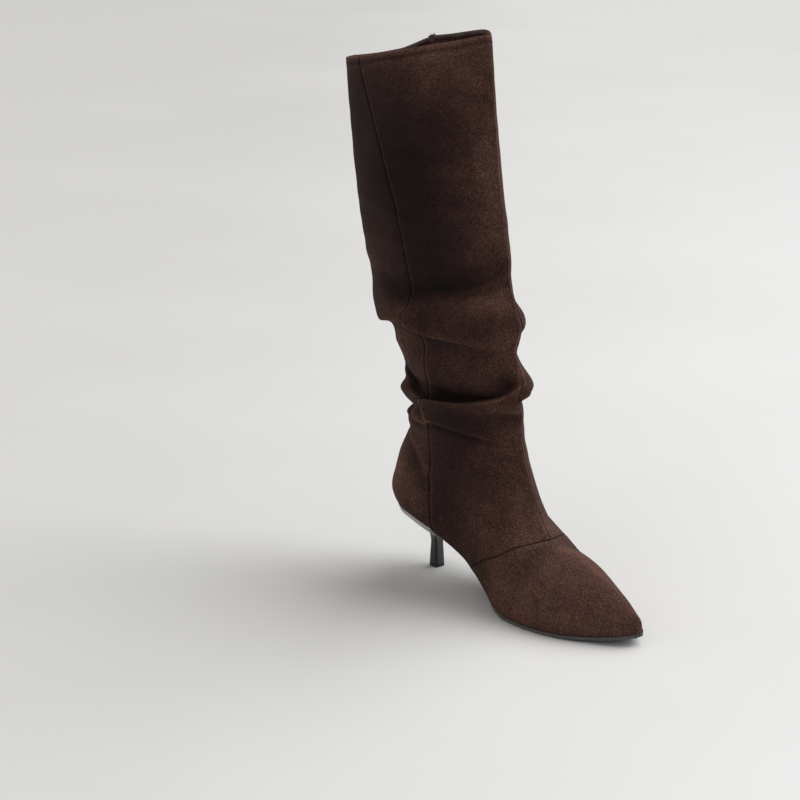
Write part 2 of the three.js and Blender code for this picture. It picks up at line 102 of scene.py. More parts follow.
def smoothCurve(rows, inColumn, outColumn, inMap=lambda value: value):
    xs = np.array([inMap(row[inColumn]) for row in rows], float)
    ys = np.array([row[outColumn] for row in rows], float)
    steps = np.diff(ys) / np.diff(xs)
    product = steps[:-1] * steps[1:]
    total = np.where(product > 0, steps[:-1] + steps[1:], 1)
    slopes = np.concatenate([steps[:1], np.where(product > 0, 2 * product / total, 0), steps[-1:]])

    def read(value):
        x = np.clip(inMap(value), xs[0], xs[-1])
        i = np.clip(np.searchsorted(xs, x, side="right") - 1, 0, len(xs) - 2)
        span = xs[i + 1] - xs[i]
        s = (x - xs[i]) / span
        rest = 1 - s
        return (
            ys[i] * (1 + 2 * s) * rest**2 + ys[i + 1] * s**2 * (3 - 2 * s)
            + span * slopes[i] * s * rest**2 - span * slopes[i + 1] * s**2 * rest
        )

    return read


def endAngle(share):
    return np.arccos(1 - 2 * np.clip(share, 0, 1))


def mix(a, b, share):
    return a + (b - a) * share


def ease(share):
    return share * share * (3 - 2 * share)


def softStep(value, low, high):
    return ease(np.clip((value - low) / (high - low), 0, 1))


def bump(distance):
    return np.exp(-distance * distance)


medialShare = smoothCurve(lastRows, 0, 1, endAngle)
lateralShare = smoothCurve(lastRows, 0, 2, endAngle)
heelShare = smoothCurve(lastRows, 0, 3)
toeShare = smoothCurve(lastRows, 0, 4)
ringFront, ringFrontRise, ringBack, ringBackRise, ringWidth, ringShaft, ringKeen = [
    smoothCurve(ringRows, 0, column) for column in range(1, 8)
]
rimLift = smoothCurve(rimRows, 0, 1)
footTop = 0.34
ridgeRows = [(0, 6), (0.4, 1)] + [(row[1], row[2]) for row in ringRows[2:12]][::-1] + [(1.0, 0.011)]
ridgeShare = smoothCurve(ridgeRows, 0, 1)


def featherHeight(along):
    treadTop = bootSizes["soleThickness"] + bootSizes["fitGap"]
    seat = heelShare(along) * (bootSizes["heelHeight"] - treadTop)
    return treadTop + seat + toeShare(along) * bootSizes["toeSpring"]


def smoothPoint(at, turn):
    height = bootSizes["bootHeight"]
    front, back, keen = ringFront(at), ringBack(at), ringKeen(at)
    share = (1 + np.cos(turn)) / 2
    along = mix(back, front, share)
    lift = mix(ringBackRise(at), ringFrontRise(at), share) * height
    level = mix(featherHeight(0), featherHeight(1), share)
    lower = featherHeight(np.clip(along, 0, 1))
    rim = rimLift(turn / (2 * np.pi)) * height * ease(np.clip((at - 0.6) / 0.4, 0, 1))
    z = lift + rim + mix(lower, level, ease(np.clip(at / footTop, 0, 1)))
    inner = np.sin(turn) < 0
    station = np.clip((along - back) / (1 - back), 0, 1)
    plan = np.where(inner, medialShare(station), lateralShare(station))
    climb = np.clip(lift / (ridgeShare(np.clip(along, 0, 1)) * height), 0, 1)
    arch = (1 - climb ** mix(1.9, 1.25, keen)) ** mix(0.6, 0.95, keen)
    tuck = 1 - 0.05 * (1 - np.clip(lift / (0.035 * height), 0, 1)) ** 2
    belly = np.clip(4 * share * (1 - share), 0, 1)
    oval = ringWidth(at) * belly ** mix(0.5, mix(0.5, 0.82, keen), share)
    y = mix(plan * arch * tuck, oval, ringShaft(at)) * bootSizes["ballWidth"]
    y = np.where(belly < 1e-9, 0, np.where(inner, -y, y))
    return np.stack([along * bootSizes["footLength"], y, z], -1)


def outwardFrom(at, turn):
    depth = (ringFront(at) - ringBack(at)) * bootSizes["footLength"]
    width = 2 * ringWidth(at) * bootSizes["ballWidth"]
    outward = np.stack([np.cos(turn) / depth, np.sin(turn) / width, 0 * turn * at], -1)
    return outward / np.linalg.norm(outward, axis=-1, keepdims=True)


def slouchOf(at, turn, base):
    height = bootSizes["bootHeight"]
    rise = base[..., 2] / height
    push, sag = 0 * rise, 0 * rise
    for foldTurn, spread, foldRise, slant, reach, foldPush, foldSag in foldRows:
        around = turn / (2 * np.pi) - foldTurn
        around = around - np.round(around)
        weight = bump(around / (0.6 * spread)) * bump((rise - foldRise - slant * around) / (0.7 * reach))
        push = push + foldPush * weight * height
        sag = sag + foldSag * weight * height
    return push, sag


# The sharper creases, placed one by one. A path is (turn, rise, strength), inner side below zero; its strips are
# (offset above the path, reach above, reach below, push out, sag, tone), in millimetres apart from the tone.
# a strip's tone is painted shade in the valleys, pockets and under the rolls, and painted light on the crests and
# lips
creases = {
    "valleyAbove": {
        "path": [(-0.34, 0.526, 0), (-0.285, 0.536, 0.8), (-0.249, 0.5445, 1), (-0.203, 0.5535, 1),
                 (-0.164, 0.5605, 1), (-0.125, 0.5675, 0.9), (-0.08, 0.579, 0.6), (-0.03, 0.594, 0.15)],
        "strips": [(1.0, 10, 4.5, -4.6, 1.8, -0.16), (9, 22, 9, -1.6, 0, -0.14)],
    },
    "rollCrest": {
        "path": [(-0.3, 0.522, 0), (-0.254, 0.527, 0.7), (-0.212, 0.531, 0.9), (-0.172, 0.536, 1),
                 (-0.132, 0.5405, 1), (-0.086, 0.55, 1), (-0.054, 0.559, 0.9), (0.013, 0.568, 0.5),
                 (0.06, 0.57, 0)],
        "strips": [(-1.5, 4, 9, 2.6, 0, 0.1)],
    },
    "rollEdge": {
        "path": [(-0.47, 0.485, 0), (-0.42, 0.488, 0.9), (-0.357, 0.493, 1), (-0.287, 0.498, 1),
                 (-0.245, 0.4995, 1), (-0.19, 0.4885, 0.8), (-0.154, 0.475, 0.55), (-0.12, 0.463, 0.2),
                 (-0.09, 0.455, 0)],
        "strips": [(3.5, 9, 3.5, 2.2, 3.0, 0.04), (0.6, 1.2, 1.2, 0.2, 0.6, 0.16), (-5, 4, 9, -2.8, -1.0, -0.16)],
    },
    "bagDent": {
        "path": [(-0.45, 0.545, 0), (-0.38, 0.548, 0.8), (-0.3, 0.548, 0.5), (-0.27, 0.545, 0)],
        "strips": [(0, 8, 8, -1.6, 0, -0.08)],
    },
    "pocket": {
        "path": [(-0.45, 0.387, 0), (-0.41, 0.384, 0.5), (-0.374, 0.3785, 0.85), (-0.335, 0.365, 0.95),
                 (-0.29, 0.3535, 0.95),
                 (-0.258, 0.3545, 1), (-0.229, 0.3585, 1), (-0.184, 0.3635, 1), (-0.14, 0.3705, 1),
                 (-0.102, 0.378, 1), (-0.076, 0.3865, 0.9), (-0.05, 0.3975, 0.7), (-0.03, 0.41, 0)],
        "strips": [(0.8, 9, 2.6, -5.0, 3.5, -0.16), (8, 16, 8, -1.2, 0, -0.04)],
    },
    "lip": {
        "path": [(-0.31, 0.334, 0), (-0.29, 0.3405, 0.7), (-0.262, 0.345, 1), (-0.232, 0.3475, 1),
                 (-0.195, 0.3505, 1), (-0.166, 0.355, 1), (-0.135, 0.36, 1), (-0.108, 0.364, 1),
                 (-0.073, 0.3735, 1), (-0.0435, 0.387, 0.9), (-0.0235, 0.395, 0.7), (0.02, 0.4, 0)],
        "strips": [(-1.2, 2.4, 8, 2.4, -1.0, 0.05), (0.2, 1.0, 1.3, 0.2, -0.3, 0.12)],
    },
    "lipEnd": {
        "path": [(-0.2836, 0.3445, 0), (-0.2935, 0.3385, 0.9), (-0.302, 0.3275, 1), (-0.2965, 0.3165, 1),
                 (-0.2785, 0.3105, 1), (-0.2348, 0.3096, 0.8), (-0.1961, 0.3064, 0.7), (-0.1623, 0.3014, 0.6),
                 (-0.1223, 0.2953, 0.25), (-0.1, 0.292, 0)],
        "strips": [(2.0, 7, 2.0, 1.1, 0.3, 0.0), (0.5, 0.9, 0.9, 0.25, 0, 0.16), (-1.6, 1.4, 3.2, -1.5, 0, -0.14)],
    },
    "smallLobe": {
        "path": [(-0.4, 0.315, 0), (-0.358, 0.3125, 0.9), (-0.335, 0.307, 1), (-0.304, 0.303, 1),
                 (-0.272, 0.3055, 0.7), (-0.262, 0.306, 0)],
        "strips": [(1.0, 3.5, 1.8, 1.9, 0.8, 0.14), (-3, 1.6, 4, -1.4, 0, -0.12)],
    },
    "kneeCrease": {
        "path": [(-0.12, 0.3385, 0), (-0.087, 0.3396, 0.8), (-0.06, 0.34, 1), (-0.032, 0.3393, 0.9),
                 (0.0, 0.341, 0)],
        "strips": [(1.5, 3, 1.5, 0.6, 0.3, 0.05), (-1.5, 1.5, 5, -0.9, 0, -0.06)],
    },
    "tubeRidge": {
        "path": [(-0.3, 0.487, 0), (-0.345, 0.462, 0.8), (-0.352, 0.43, 1), (-0.34, 0.4, 1), (-0.318, 0.375, 0.4)],
        "strips": [(0, 5, 5, 0.8, 0, 0.12)],
    },
    "counterRidge": {
        "path": [(-0.415, 0.268, 0), (-0.372, 0.2624, 0.8), (-0.334, 0.2439, 1), (-0.315, 0.2162, 0.8),
                 (-0.31, 0.19, 0)],
        "strips": [(0, 4, 4, 1.0, 0, 0.1), (-6, 5, 5, -0.7, 0, -0.06)],
    },
    "outerValley": {
        "path": [(0.08, 0.578, 0), (0.14, 0.566, 0.8), (0.22, 0.556, 1), (0.31, 0.548, 1), (0.4, 0.543, 0.7),
                 (0.47, 0.54, 0)],
        "strips": [(1.0, 10, 5, -3.8, 1.2, -0.16), (9, 20, 9, -1.2, 0, -0.08)],
    },
    "outerRoll": {
        "path": [(0.13, 0.546, 0), (0.18, 0.538, 0.8), (0.24, 0.53, 1), (0.33, 0.522, 1), (0.42, 0.519, 0.6),
                 (0.49, 0.518, 0)],
        "strips": [(-1.5, 4, 9, 2.4, 0, 0.1)],
    },
    "outerEdge": {
        "path": [(0.08, 0.448, 0), (0.15, 0.463, 0.7), (0.22, 0.476, 1), (0.3, 0.484, 1), (0.4, 0.486, 0.9),
                 (0.48, 0.487, 0)],
        "strips": [(3.5, 9, 3.5, 2.0, 2.6, 0.04), (0.6, 1.2, 1.2, 0.2, 0.5, 0.12), (-5, 4, 9, -2.4, -0.8, -0.12)],
    },
    "outerPocket": {
        "path": [(0.13, 0.386, 0), (0.17, 0.378, 0.8), (0.23, 0.371, 1), (0.31, 0.369, 0.9), (0.39, 0.374, 0.6),
                 (0.46, 0.38, 0)],
        "strips": [(0.8, 9, 2.8, -4.2, 2.8, -0.22), (8, 16, 8, -1.0, 0, -0.06)],
    },
    "outerLip": {
        "path": [(0.11, 0.374, 0), (0.16, 0.367, 0.8), (0.23, 0.3595, 1), (0.31, 0.3575, 0.9), (0.39, 0.362, 0.6),
                 (0.46, 0.368, 0)],
        "strips": [(-1.2, 2.4, 8, 2.2, -0.8, 0.05), (0.2, 1.0, 1.3, 0.2, -0.3, 0.1)],
    },
    "outerDiagonal": {
        "path": [(0.11, 0.297, 0), (0.16, 0.305, 0.6), (0.22, 0.313, 0.9), (0.28, 0.317, 1), (0.34, 0.314, 0.7),
                 (0.4, 0.31, 0)],
        "strips": [(2.0, 7, 2.0, 1.0, 0.3, 0.0), (0.5, 0.9, 0.9, 0.2, 0, 0.12), (-1.8, 1.6, 3.4, -1.3, 0, -0.1)],
    },
    "backCrease": {
        "path": [(0.38, 0.43, 0), (0.44, 0.424, 0.7), (0.5, 0.42, 1), (0.56, 0.423, 0.7), (0.62, 0.43, 0)],
        "strips": [(2, 4, 3, 0.8, 0.3, 0.04), (-2, 3, 4, -1.3, 0, -0.08)],
    },
}

# Soft local corrections: turn, spread, at, reach, push out in mm
trimRows = [
    (0.165, 0.08, 0.192, 0.045, -5.2), (0.07, 0.08, 0.062, 0.07, -1.5), (0.04, 0.05, 0.0, 0.03, -1.6),
    (0.115, 0.045, 0.71, 0.022, -3.6), (0.115, 0.05, 0.545, 0.03, -2.2), (0.06, 0.05, 0.476, 0.016, 0.5),
    (0.1, 0.05, 0.51, 0.02, -1.6), (-0.43, 0.09, 0.7, 0.022, -7.5), (-0.43, 0.09, 0.684, 0.012, -3.5),
    (-0.42, 0.08, 0.56, 0.03, 1.6), (-0.42, 0.06, 0.444, 0.02, -4.0), (-0.39, 0.05, 0.375, 0.011, -5.8),
    (-0.42, 0.06, 0.361, 0.01, -5.5), (0.04, 0.05, 0.446, 0.011, 2.4), (0.1, 0.05, 0.386, 0.02, -1.6),
    (0.13, 0.05, 0.118, 0.022, 1.8), (0.19, 0.05, 0.14, 0.03, -1.2), (-0.44, 0.12, 0.295, 0.03, 2.4),
    (-0.45, 0.12, 0.045, 0.035, 1.7), (-0.42, 0.1, 0.0, 0.012, -1.4), (-0.44, 0.1, 0.22, 0.05, 1.2),
]


def trimOf(at, turn):
    push = 0 * at
    for aroundTrim, spread, atTrim, reach, amount in trimRows:
        around = turn / (2 * np.pi) - aroundTrim
        around = around - np.round(around)
        push = push + amount * bump(around / spread) * bump((at - atTrim) / reach)
    return push


def alongPath(path, count=220):
    keys = np.array(path, float)
    s = np.linspace(0, len(keys) - 1, count)
    i = np.clip(s.astype(int), 0, len(keys) - 2)
    t = (s - i)[:, None]
    before = keys[np.clip(i - 1, 0, len(keys) - 1)]
    after = keys[np.clip(i + 2, 0, len(keys) - 1)]
    a, b = keys[i], keys[i + 1]
    return 0.5 * (2 * a + (b - before) * t + (2 * before - 5 * a + 4 * b - after) * t**2
                  + (3 * a - before - 3 * b + after) * t**3)


# how far a crease is felt beside and above its path, and past its ends, in millimetres
creaseAcross, creaseUp, creaseEnd = 35, 60, 8


def creaseOf(turn, rise):
    push, sag, tone = 0 * rise, 0 * rise, 0 * rise
    girth, height = bootSizes["girth"], bootSizes["bootHeight"]
    for crease in creases.values():
        line = alongPath(crease["path"])
        middle = line[:, 0].mean()
        around = turn / (2 * np.pi)
        around = around - np.round(around - middle)
        px, py, strength = line[:, 0] * girth, line[:, 1] * height, np.clip(line[:, 2], 0, 1)
        tangent = np.stack([np.gradient(px), np.gradient(py)], -1)
        tangent /= np.linalg.norm(tangent, axis=-1, keepdims=True)
        x, y = around * girth, rise * height
        near = (x > px.min() - creaseAcross) & (x < px.max() + creaseAcross)
        near &= (y > py.min() - creaseUp) & (y < py.max() + creaseUp)
        vx, vy = x[near], y[near]
        gap = (vx[:, None] - px[None]) ** 2 + (vy[:, None] - py[None]) ** 2
        k = gap.argmin(1)
        dx, dy = vx - px[k], vy - py[k]
        away = dy * tangent[k, 0] - dx * tangent[k, 1]
        beyond = dx * tangent[k, 0] + dy * tangent[k, 1]
        force = strength[k] * bump(beyond / creaseEnd)
        # each strip pushes and sags the skin and adds painted light and shade to its tone
        for offset, above, below, stripPush, stripSag, stripLightAndShade in crease["strips"]:
            distance = away - offset
            weight = force * bump(distance / np.where(distance > 0, above, below))
            push[near] += stripPush * weight
            sag[near] += stripSag * weight
            tone[near] += stripLightAndShade * weight
    return push, sag, tone


# Seams from the sole up, as (at, turn)
seamPaths = {
    "medial": [(0, -0.337), (0.047, -0.3345), (0.088, -0.332), (0.183, -0.311), (0.254, -0.2985),
               (0.305, -0.287), (0.338, -0.282), (0.354, -0.275), (0.363, -0.288), (0.37, -0.3),
               (0.38, -0.3005), (0.391, -0.2925), (0.4, -0.281), (0.4335, -0.2811), (0.4436, -0.2881),
               (0.4548, -0.2944), (0.462, -0.292), (0.476, -0.2775), (0.49, -0.2705), (0.533, -0.2668),
               (0.606, -0.2545), (0.66, -0.262), (0.7, -0.2714), (0.709, -0.2702),
               (0.716, -0.261), (0.724, -0.2565), (0.737, -0.2585), (0.757, -0.2525), (0.7895, -0.244),
               (0.816, -0.2455), (0.847, -0.25), (0.878, -0.2635), (0.898, -0.2736), (0.919, -0.2843),
               (0.94, -0.296), (0.962, -0.3094), (0.983, -0.323), (1, -0.332)],
    "front": [(0, 0), (0.2149, 0.004), (0.265, 0.018), (0.303, 0.045), (0.353, 0.028), (0.396, 0.012),
              (0.42, 0.0), (0.446, -0.03), (0.475, -0.022), (0.5, 0.009), (0.523, 0.036), (0.562, 0.06),
              (0.6215, 0.049), (0.67, 0.021), (0.698, 0.04), (0.746, 0.05), (0.803, 0.03), (0.845, 0.0375),
              (0.922, 0.05), (0.9555, 0.04), (1, 0.01)],
    "lateral": [(0, 0.335), (0.09, 0.332), (0.18, 0.315), (0.256, 0.297), (0.333, 0.274), (0.45, 0.27),
                (0.6, 0.262), (0.7, 0.258), (0.8, 0.256), (0.9, 0.268), (1, 0.29)],
}
medialSeam = smoothCurve(seamPaths["medial"], 0, 1)
lateralSeam = smoothCurve(seamPaths["lateral"], 0, 1)
frontSeam = smoothCurve(seamPaths["front"], 0, 1)
# The seam over the forefoot: turn, then at
crossRows = [(-0.278, 0.0), (-0.2688, 0.03), (-0.2354, 0.0905), (-0.1804, 0.1454), (-0.1292, 0.1816),
             (-0.0757, 0.204), (-0.035, 0.213), (0.006, 0.215), (0.04, 0.211), (0.072, 0.2024), (0.1316, 0.1756),
             (0.1804, 0.1454), (0.2354, 0.0905), (0.2688, 0.03), (0.278, 0.0)]
crossAt = smoothCurve(crossRows, 0, 1)

skin = {
    "columns": [46, 62, 62, 46],  # back to medial seam, to front, to lateral seam, to back
    "crowding": 0.6,  # how much closer the columns stand at a seam
    "rows": [(0.06, 20), (0.24, 62), (0.34, 34), (0.5, 66), (0.78, 92), (0.97, 60), (1.0, 10)],
    "rimRoll": 5,
    "innerRows": 84,
}


def skinRows():
    levels, start = [0.0], 0.0
    for end, count in skin["rows"]:
        levels += list(start + (end - start) * np.arange(1, count + 1) / count)
        start = end
    return np.array(levels)


def skinTurns(at):
    marks = [np.full_like(at, -0.5), medialSeam(at), frontSeam(at), lateralSeam(at), np.full_like(at, 0.5)]
    columns = [marks[0][:, None]]
    for low, high, count in zip(marks[:-1], marks[1:], skin["columns"]):
        s = np.arange(1, count + 1) / count
        s = s - skin["crowding"] * np.sin(2 * np.pi * s) / (2 * np.pi)
        columns.append(low[:, None] + (high - low)[:, None] * s[None])
    return np.concatenate(columns, 1) * 2 * np.pi


# Faint unevenness of the soft shaft: push in millimetres, how much of it is gone at the rim
waves = {"seed": 7, "count": 26, "push": 0.55, "calmTop": 0.6}


def wavesOf(turn, rise):
    dice = np.random.default_rng(waves["seed"])
    total = 0 * rise
    for _ in range(waves["count"]):
        around, up = dice.integers(1, 7), dice.uniform(6, 30)
        lean, phase, size = dice.uniform(-3, 3), dice.uniform(0, 2 * np.pi), dice.uniform(0.4, 1)
        lean = round(lean)
        total = total + size * np.sin(around * turn + lean * turn + up * 2 * np.pi * rise + phase) / (1 + up / 10)
    return total / 3


def seamLine(atLine, turnLine):
    at, turn = np.asarray(atLine, float), np.asarray(turnLine, float)
    return outerSkin(at, turn)[0]


def outerSkin(at, turn):
    base = smoothPoint(at, turn)
    outward = outwardFrom(at, turn)
    push, sag = slouchOf(at, turn, base)
    rise = base[..., 2] / bootSizes["bootHeight"]
    # tone: the creases' painted light and shade
    extraPush, extraSag, tone = creaseOf(turn, rise)
    soft = softStep(at, 0.2, 0.4)
    calm = 1 - waves["calmTop"] * softStep(at, 0.8, 1.0)
    extraPush = extraPush + waves["push"] * wavesOf(turn, rise) * soft * calm
    extraPush = extraPush + trimOf(at, turn)
    point = base + outward * (push + extraPush)[..., None]
    point[..., 2] -= sag + extraSag
    return point, extraPush, tone


def nearestTo(points, line, batch=4000):
    best = np.full(len(points), 1e9)
    index = np.zeros(len(points), int)
    for start in range(0, len(points), batch):
        part = slice(start, start + batch)
        gap = ((points[part, None] - line[None]) ** 2).sum(-1)
        index[part] = gap.argmin(1)
        best[part] = gap.min(1)
    return np.sqrt(best), index


def gridNormals(points):
    up = np.gradient(points, axis=0)
    across = np.gradient(points, axis=1)
    across[:, 0] = across[:, -1] = points[:, 1] - points[:, -2]
    normal = np.cross(across, up)
    return normal / np.maximum(np.linalg.norm(normal, axis=-1, keepdims=True), 1e-9)


def blurGrid(values, rows, columns):
    for axis, reach in ((0, rows), (1, columns)):
        for _ in range(reach):
            if axis == 1:
                ring = values[:, :-1]
                ring = (np.roll(ring, 1, 1) + 2 * ring + np.roll(ring, -1, 1)) / 4
                values = np.concatenate([ring, ring[:, :1]], 1)
            else:
                values = np.concatenate([
                    values[:1], (values[:-2] + 2 * values[1:-1] + values[2:]) / 4, values[-1:],
                ], 0)
    return values


def deselectAll():
    if bpy.context.object and bpy.context.object.mode != "OBJECT":
        bpy.ops.object.mode_set(mode="OBJECT")
    bpy.ops.object.select_all(action="DESELECT")


def toRow(points):
    return points / 1000 + rowOrigin


# A grid is added and its rows and columns are drawn over the boot's own rows; then its open sides are welded
def shapedGrid(name, points, uv=None, values=None, fill=False, outside=True, slots=None):
    rows, columns = points.shape[0] - 1, points.shape[1] - 1
    deselectAll()
    bpy.ops.mesh.primitive_grid_add(x_subdivisions=columns, y_subdivisions=rows, size=1, location=(0, 0, 0))
    piece = bpy.context.object
    piece.name = piece.data.name = name
    mesh = piece.data
    flat = np.zeros(len(mesh.vertices) * 3)
    mesh.vertices.foreach_get("co", flat)
    flat = flat.reshape(-1, 3)
    column = np.rint((flat[:, 0] + 0.5) * columns).astype(int)
    row = np.rint((flat[:, 1] + 0.5) * rows).astype(int)
    mesh.vertices.foreach_set("co", toRow(points[row, column]).ravel())
    corner = np.zeros(len(mesh.loops), int)
    mesh.loops.foreach_get("vertex_index", corner)
    if uv is not None:
        mesh.uv_layers.active.data.foreach_set("uv", uv[row[corner], column[corner]].ravel())
    for key, value in (values or {}).items():
        attribute = mesh.attributes.new(key, "FLOAT", "POINT")
        attribute.data.foreach_set("value", value[row, column].astype(np.float32))
    if slots is not None:
        mesh.polygons.foreach_set("material_index", slots[row[corner].reshape(-1, 4).min(1)])
    mesh.update()
    bpy.ops.object.mode_set(mode="EDIT")
    bpy.ops.mesh.select_all(action="SELECT")
    bpy.ops.mesh.remove_doubles(threshold=1e-6)
    if fill:
        bpy.ops.mesh.select_all(action="SELECT")
        bpy.ops.mesh.fill_holes(sides=0)
        bpy.ops.mesh.select_all(action="SELECT")
    if outside:
        bpy.ops.mesh.normals_make_consistent(inside=False)
    bpy.ops.object.mode_set(mode="OBJECT")
    bpy.ops.object.shade_smooth()
    return piece


# Materials
def newMaterial(name):
    material = bpy.data.materials.new(name)
    material.use_nodes = True
    tree = material.node_tree
    tree.nodes.clear()
    output = tree.nodes.new("ShaderNodeOutputMaterial")
    shader = tree.nodes.new("ShaderNodeBsdfPrincipled")
    tree.links.new(shader.outputs["BSDF"], output.inputs["Surface"])
    return material, tree, shader


def noiseOn(tree, where, scale, detail=3.0, roughness=0.55, distortion=0.0):
    noise = tree.nodes.new("ShaderNodeTexNoise")
    noise.inputs["Scale"].default_value = scale
    noise.inputs["Detail"].default_value = detail
    noise.inputs["Roughness"].default_value = roughness
    noise.inputs["Distortion"].default_value = distortion
    tree.links.new(where, noise.inputs["Vector"])
    return noise.outputs["Fac"]


def sumOf(tree, first, *terms):
    total = first
    for source, amount, centre in terms:
        scaled = tree.nodes.new("ShaderNodeMath")
        scaled.operation = "MULTIPLY_ADD"
        scaled.inputs[1].default_value = amount
        scaled.inputs[2].default_value = -amount * centre
        tree.links.new(source, scaled.inputs[0])
        added = tree.nodes.new("ShaderNodeMath")
        added.operation = "ADD"
        tree.links.new(total, added.inputs[0])
        tree.links.new(scaled.outputs[0], added.inputs[1])
        total = added.outputs[0]
    return total


def attributeOn(tree, name):
    node = tree.nodes.new("ShaderNodeAttribute")
    node.attribute_name = name
    return node.outputs["Fac"]


def rampOn(tree, source, stops):
    ramp = tree.nodes.new("ShaderNodeValToRGB")
    while len(ramp.color_ramp.elements) < len(stops):
        ramp.color_ramp.elements.new(0.5)
    for element, (position, colour) in zip(ramp.color_ramp.elements, stops):
        element.position = position
        element.color = (*colour, 1)
    tree.links.new(source, ramp.inputs["Fac"])
    return ramp.outputs["Color"]


def rangeOn(tree, source, low, high, toLow, toHigh):
    node = tree.nodes.new("ShaderNodeMapRange")
    node.interpolation_type = "SMOOTHSTEP"
    node.inputs["From Min"].default_value = low
    node.inputs["From Max"].default_value = high
    node.inputs["To Min"].default_value = toLow
    node.inputs["To Max"].default_value = toHigh
    tree.links.new(source, node.inputs["Value"])
    return node.outputs["Result"]


def mathOn(tree, operation, a, b=None, value=0.0):
    node = tree.nodes.new("ShaderNodeMath")
    node.operation = operation
    tree.links.new(a, node.inputs[0])
    if b is not None:
        tree.links.new(b, node.inputs[1])
    else:
        node.inputs[1].default_value = value
    return node.outputs[0]


def bumpOn(tree, height, strength, distance, before=None):
    node = tree.nodes.new("ShaderNodeBump")
    node.inputs["Strength"].default_value = strength
    node.inputs["Distance"].default_value = distance
    tree.links.new(height, node.inputs["Height"])
    if before is not None:
        tree.links.new(before, node.inputs["Normal"])
    return node.outputs["Normal"]


def mixOn(tree, share, a, colour):
    node = tree.nodes.new("ShaderNodeMix")
    node.data_type = "RGBA"
    tree.links.new(share, node.inputs["Factor"])
    tree.links.new(a, node.inputs["A"])
    node.inputs["B"].default_value = (*colour, 1)
    return node.outputs["Result"]


suedeLook = {
    "stops": [(0.0, (0.0062, 0.0041, 0.0044)), (0.25, (0.0155, 0.0083, 0.0084)), (0.45, (0.034, 0.0164, 0.0147)),
              (0.65, (0.077, 0.0362, 0.0275)), (0.85, (0.14, 0.069, 0.051)), (1.0, (0.215, 0.114, 0.086))],
    "mottle": 0.42, "patch": 0.24, "flock": 0.22, "grain": 0.45, "fibre": 1.2,
    "sheen": 0.07, "sheenTint": (0.65, 0.4, 0.3), "seamLine": (0.004, 0.0025, 0.002),
}


def suede(name, seams=True, lift=0.0):
    material, tree, shader = newMaterial(name)
    where = tree.nodes.new("ShaderNodeTexCoord").outputs["Object"]
    mottle = noiseOn(tree, where, 22, 3, 0.6, distortion=0.4)
    patch = noiseOn(tree, where, 110, 4, 0.65, distortion=0.6)
    flock = noiseOn(tree, where, 300, 3, 0.6, distortion=0.3)
    grain = noiseOn(tree, where, 760, 3, 0.75)
    fibre = noiseOn(tree, where, 1650, 2, 0.8)
    if seams:
        # the upper's tone attribute holds its nap colour with painted light and shade
        tone = attributeOn(tree, "tone")
    else:
        tone = rangeOn(tree, mottle, 0, 1, 0.36 + lift, 0.44 + lift)
    # the finest nap shows most where the tone is light, painted light included
    fine = sumOf(tree, mathOn(tree, "MULTIPLY", grain, value=suedeLook["grain"]), (fibre, suedeLook["fibre"], 0.5))
    fine = mathOn(tree, "SUBTRACT", fine, value=0.5 * suedeLook["grain"])
    fine = mathOn(tree, "MULTIPLY", fine, rangeOn(tree, tone, 0, 1, 0.3, 2.1))
    tone = sumOf(tree, tone, (mottle, suedeLook["mottle"], 0.5), (patch, suedeLook["patch"], 0.5),
                 (flock, suedeLook["flock"], 0.5), (fine, 1.0, 0.0))
    colour = rampOn(tree, tone, suedeLook["stops"])
    nap = sumOf(tree, grain, (fibre, 0.8, 0.5), (patch, 0.5, 0.5))
    normal = bumpOn(tree, nap, 0.5, 0.0006)
    if seams:
        upright = attributeOn(tree, "seam")
        across = mathOn(tree, "ABSOLUTE", attributeOn(tree, "crossSeam"))
        wobble = noiseOn(tree, where, 420, 2, 0.5)
        groove = mathOn(tree, "MINIMUM", upright, across)
        groove = sumOf(tree, groove, (wobble, 0.5, 0.5))
        line = rangeOn(tree, groove, 0.15, 0.95, 0.9, 0)
        colour = mixOn(tree, line, colour, suedeLook["seamLine"])
        normal = bumpOn(tree, rangeOn(tree, groove, 0.1, 1.7, 0, 1), 0.7, 0.0011, normal)
    tree.links.new(colour, shader.inputs["Base Color"])
    tree.links.new(normal, shader.inputs["Normal"])
    shader.inputs["Roughness"].default_value = 0.93
    shader.inputs["Specular IOR Level"].default_value = 0.12
    shader.inputs["Sheen Weight"].default_value = suedeLook["sheen"]
    shader.inputs["Sheen Roughness"].default_value = 0.45
    shader.inputs["Sheen Tint"].default_value = (*suedeLook["sheenTint"], 1)
    return material


def plainFinish(name, colour, roughness, coat=0.0, bumpScale=300, bumpSize=0.05, speck=0.3, shine=0.5,
                reflectionColour=None):
    material, tree, shader = newMaterial(name)
    where = tree.nodes.new("ShaderNodeTexCoord").outputs["Object"]
    cloud = noiseOn(tree, where, 45, 4, 0.6)
    fine = noiseOn(tree, where, bumpScale, 3, 0.6)
    light = tuple(min(1, c * (1 + 2.2 * speck) + 0.004 * speck) for c in colour)
    paint = rampOn(tree, cloud, [(0.3, colour), (0.75, light)])
    # painted reflection: a light grey is mixed in where the attribute marks the cup's edge
    if reflectionColour:
        paint = mixOn(tree, attributeOn(tree, "cupPaintedReflection"), paint, reflectionColour)
    tree.links.new(paint, shader.inputs["Base Color"])
    worn = rangeOn(tree, fine, 0.3, 0.7, roughness * 0.85, min(1, roughness * 1.15))
    tree.links.new(worn, shader.inputs["Roughness"])
    tree.links.new(bumpOn(tree, fine, bumpSize, 0.0003), shader.inputs["Normal"])
    shader.inputs["Specular IOR Level"].default_value = shine
    shader.inputs["Coat Weight"].default_value = coat
    shader.inputs["Coat Roughness"].default_value = 0.06
    return material


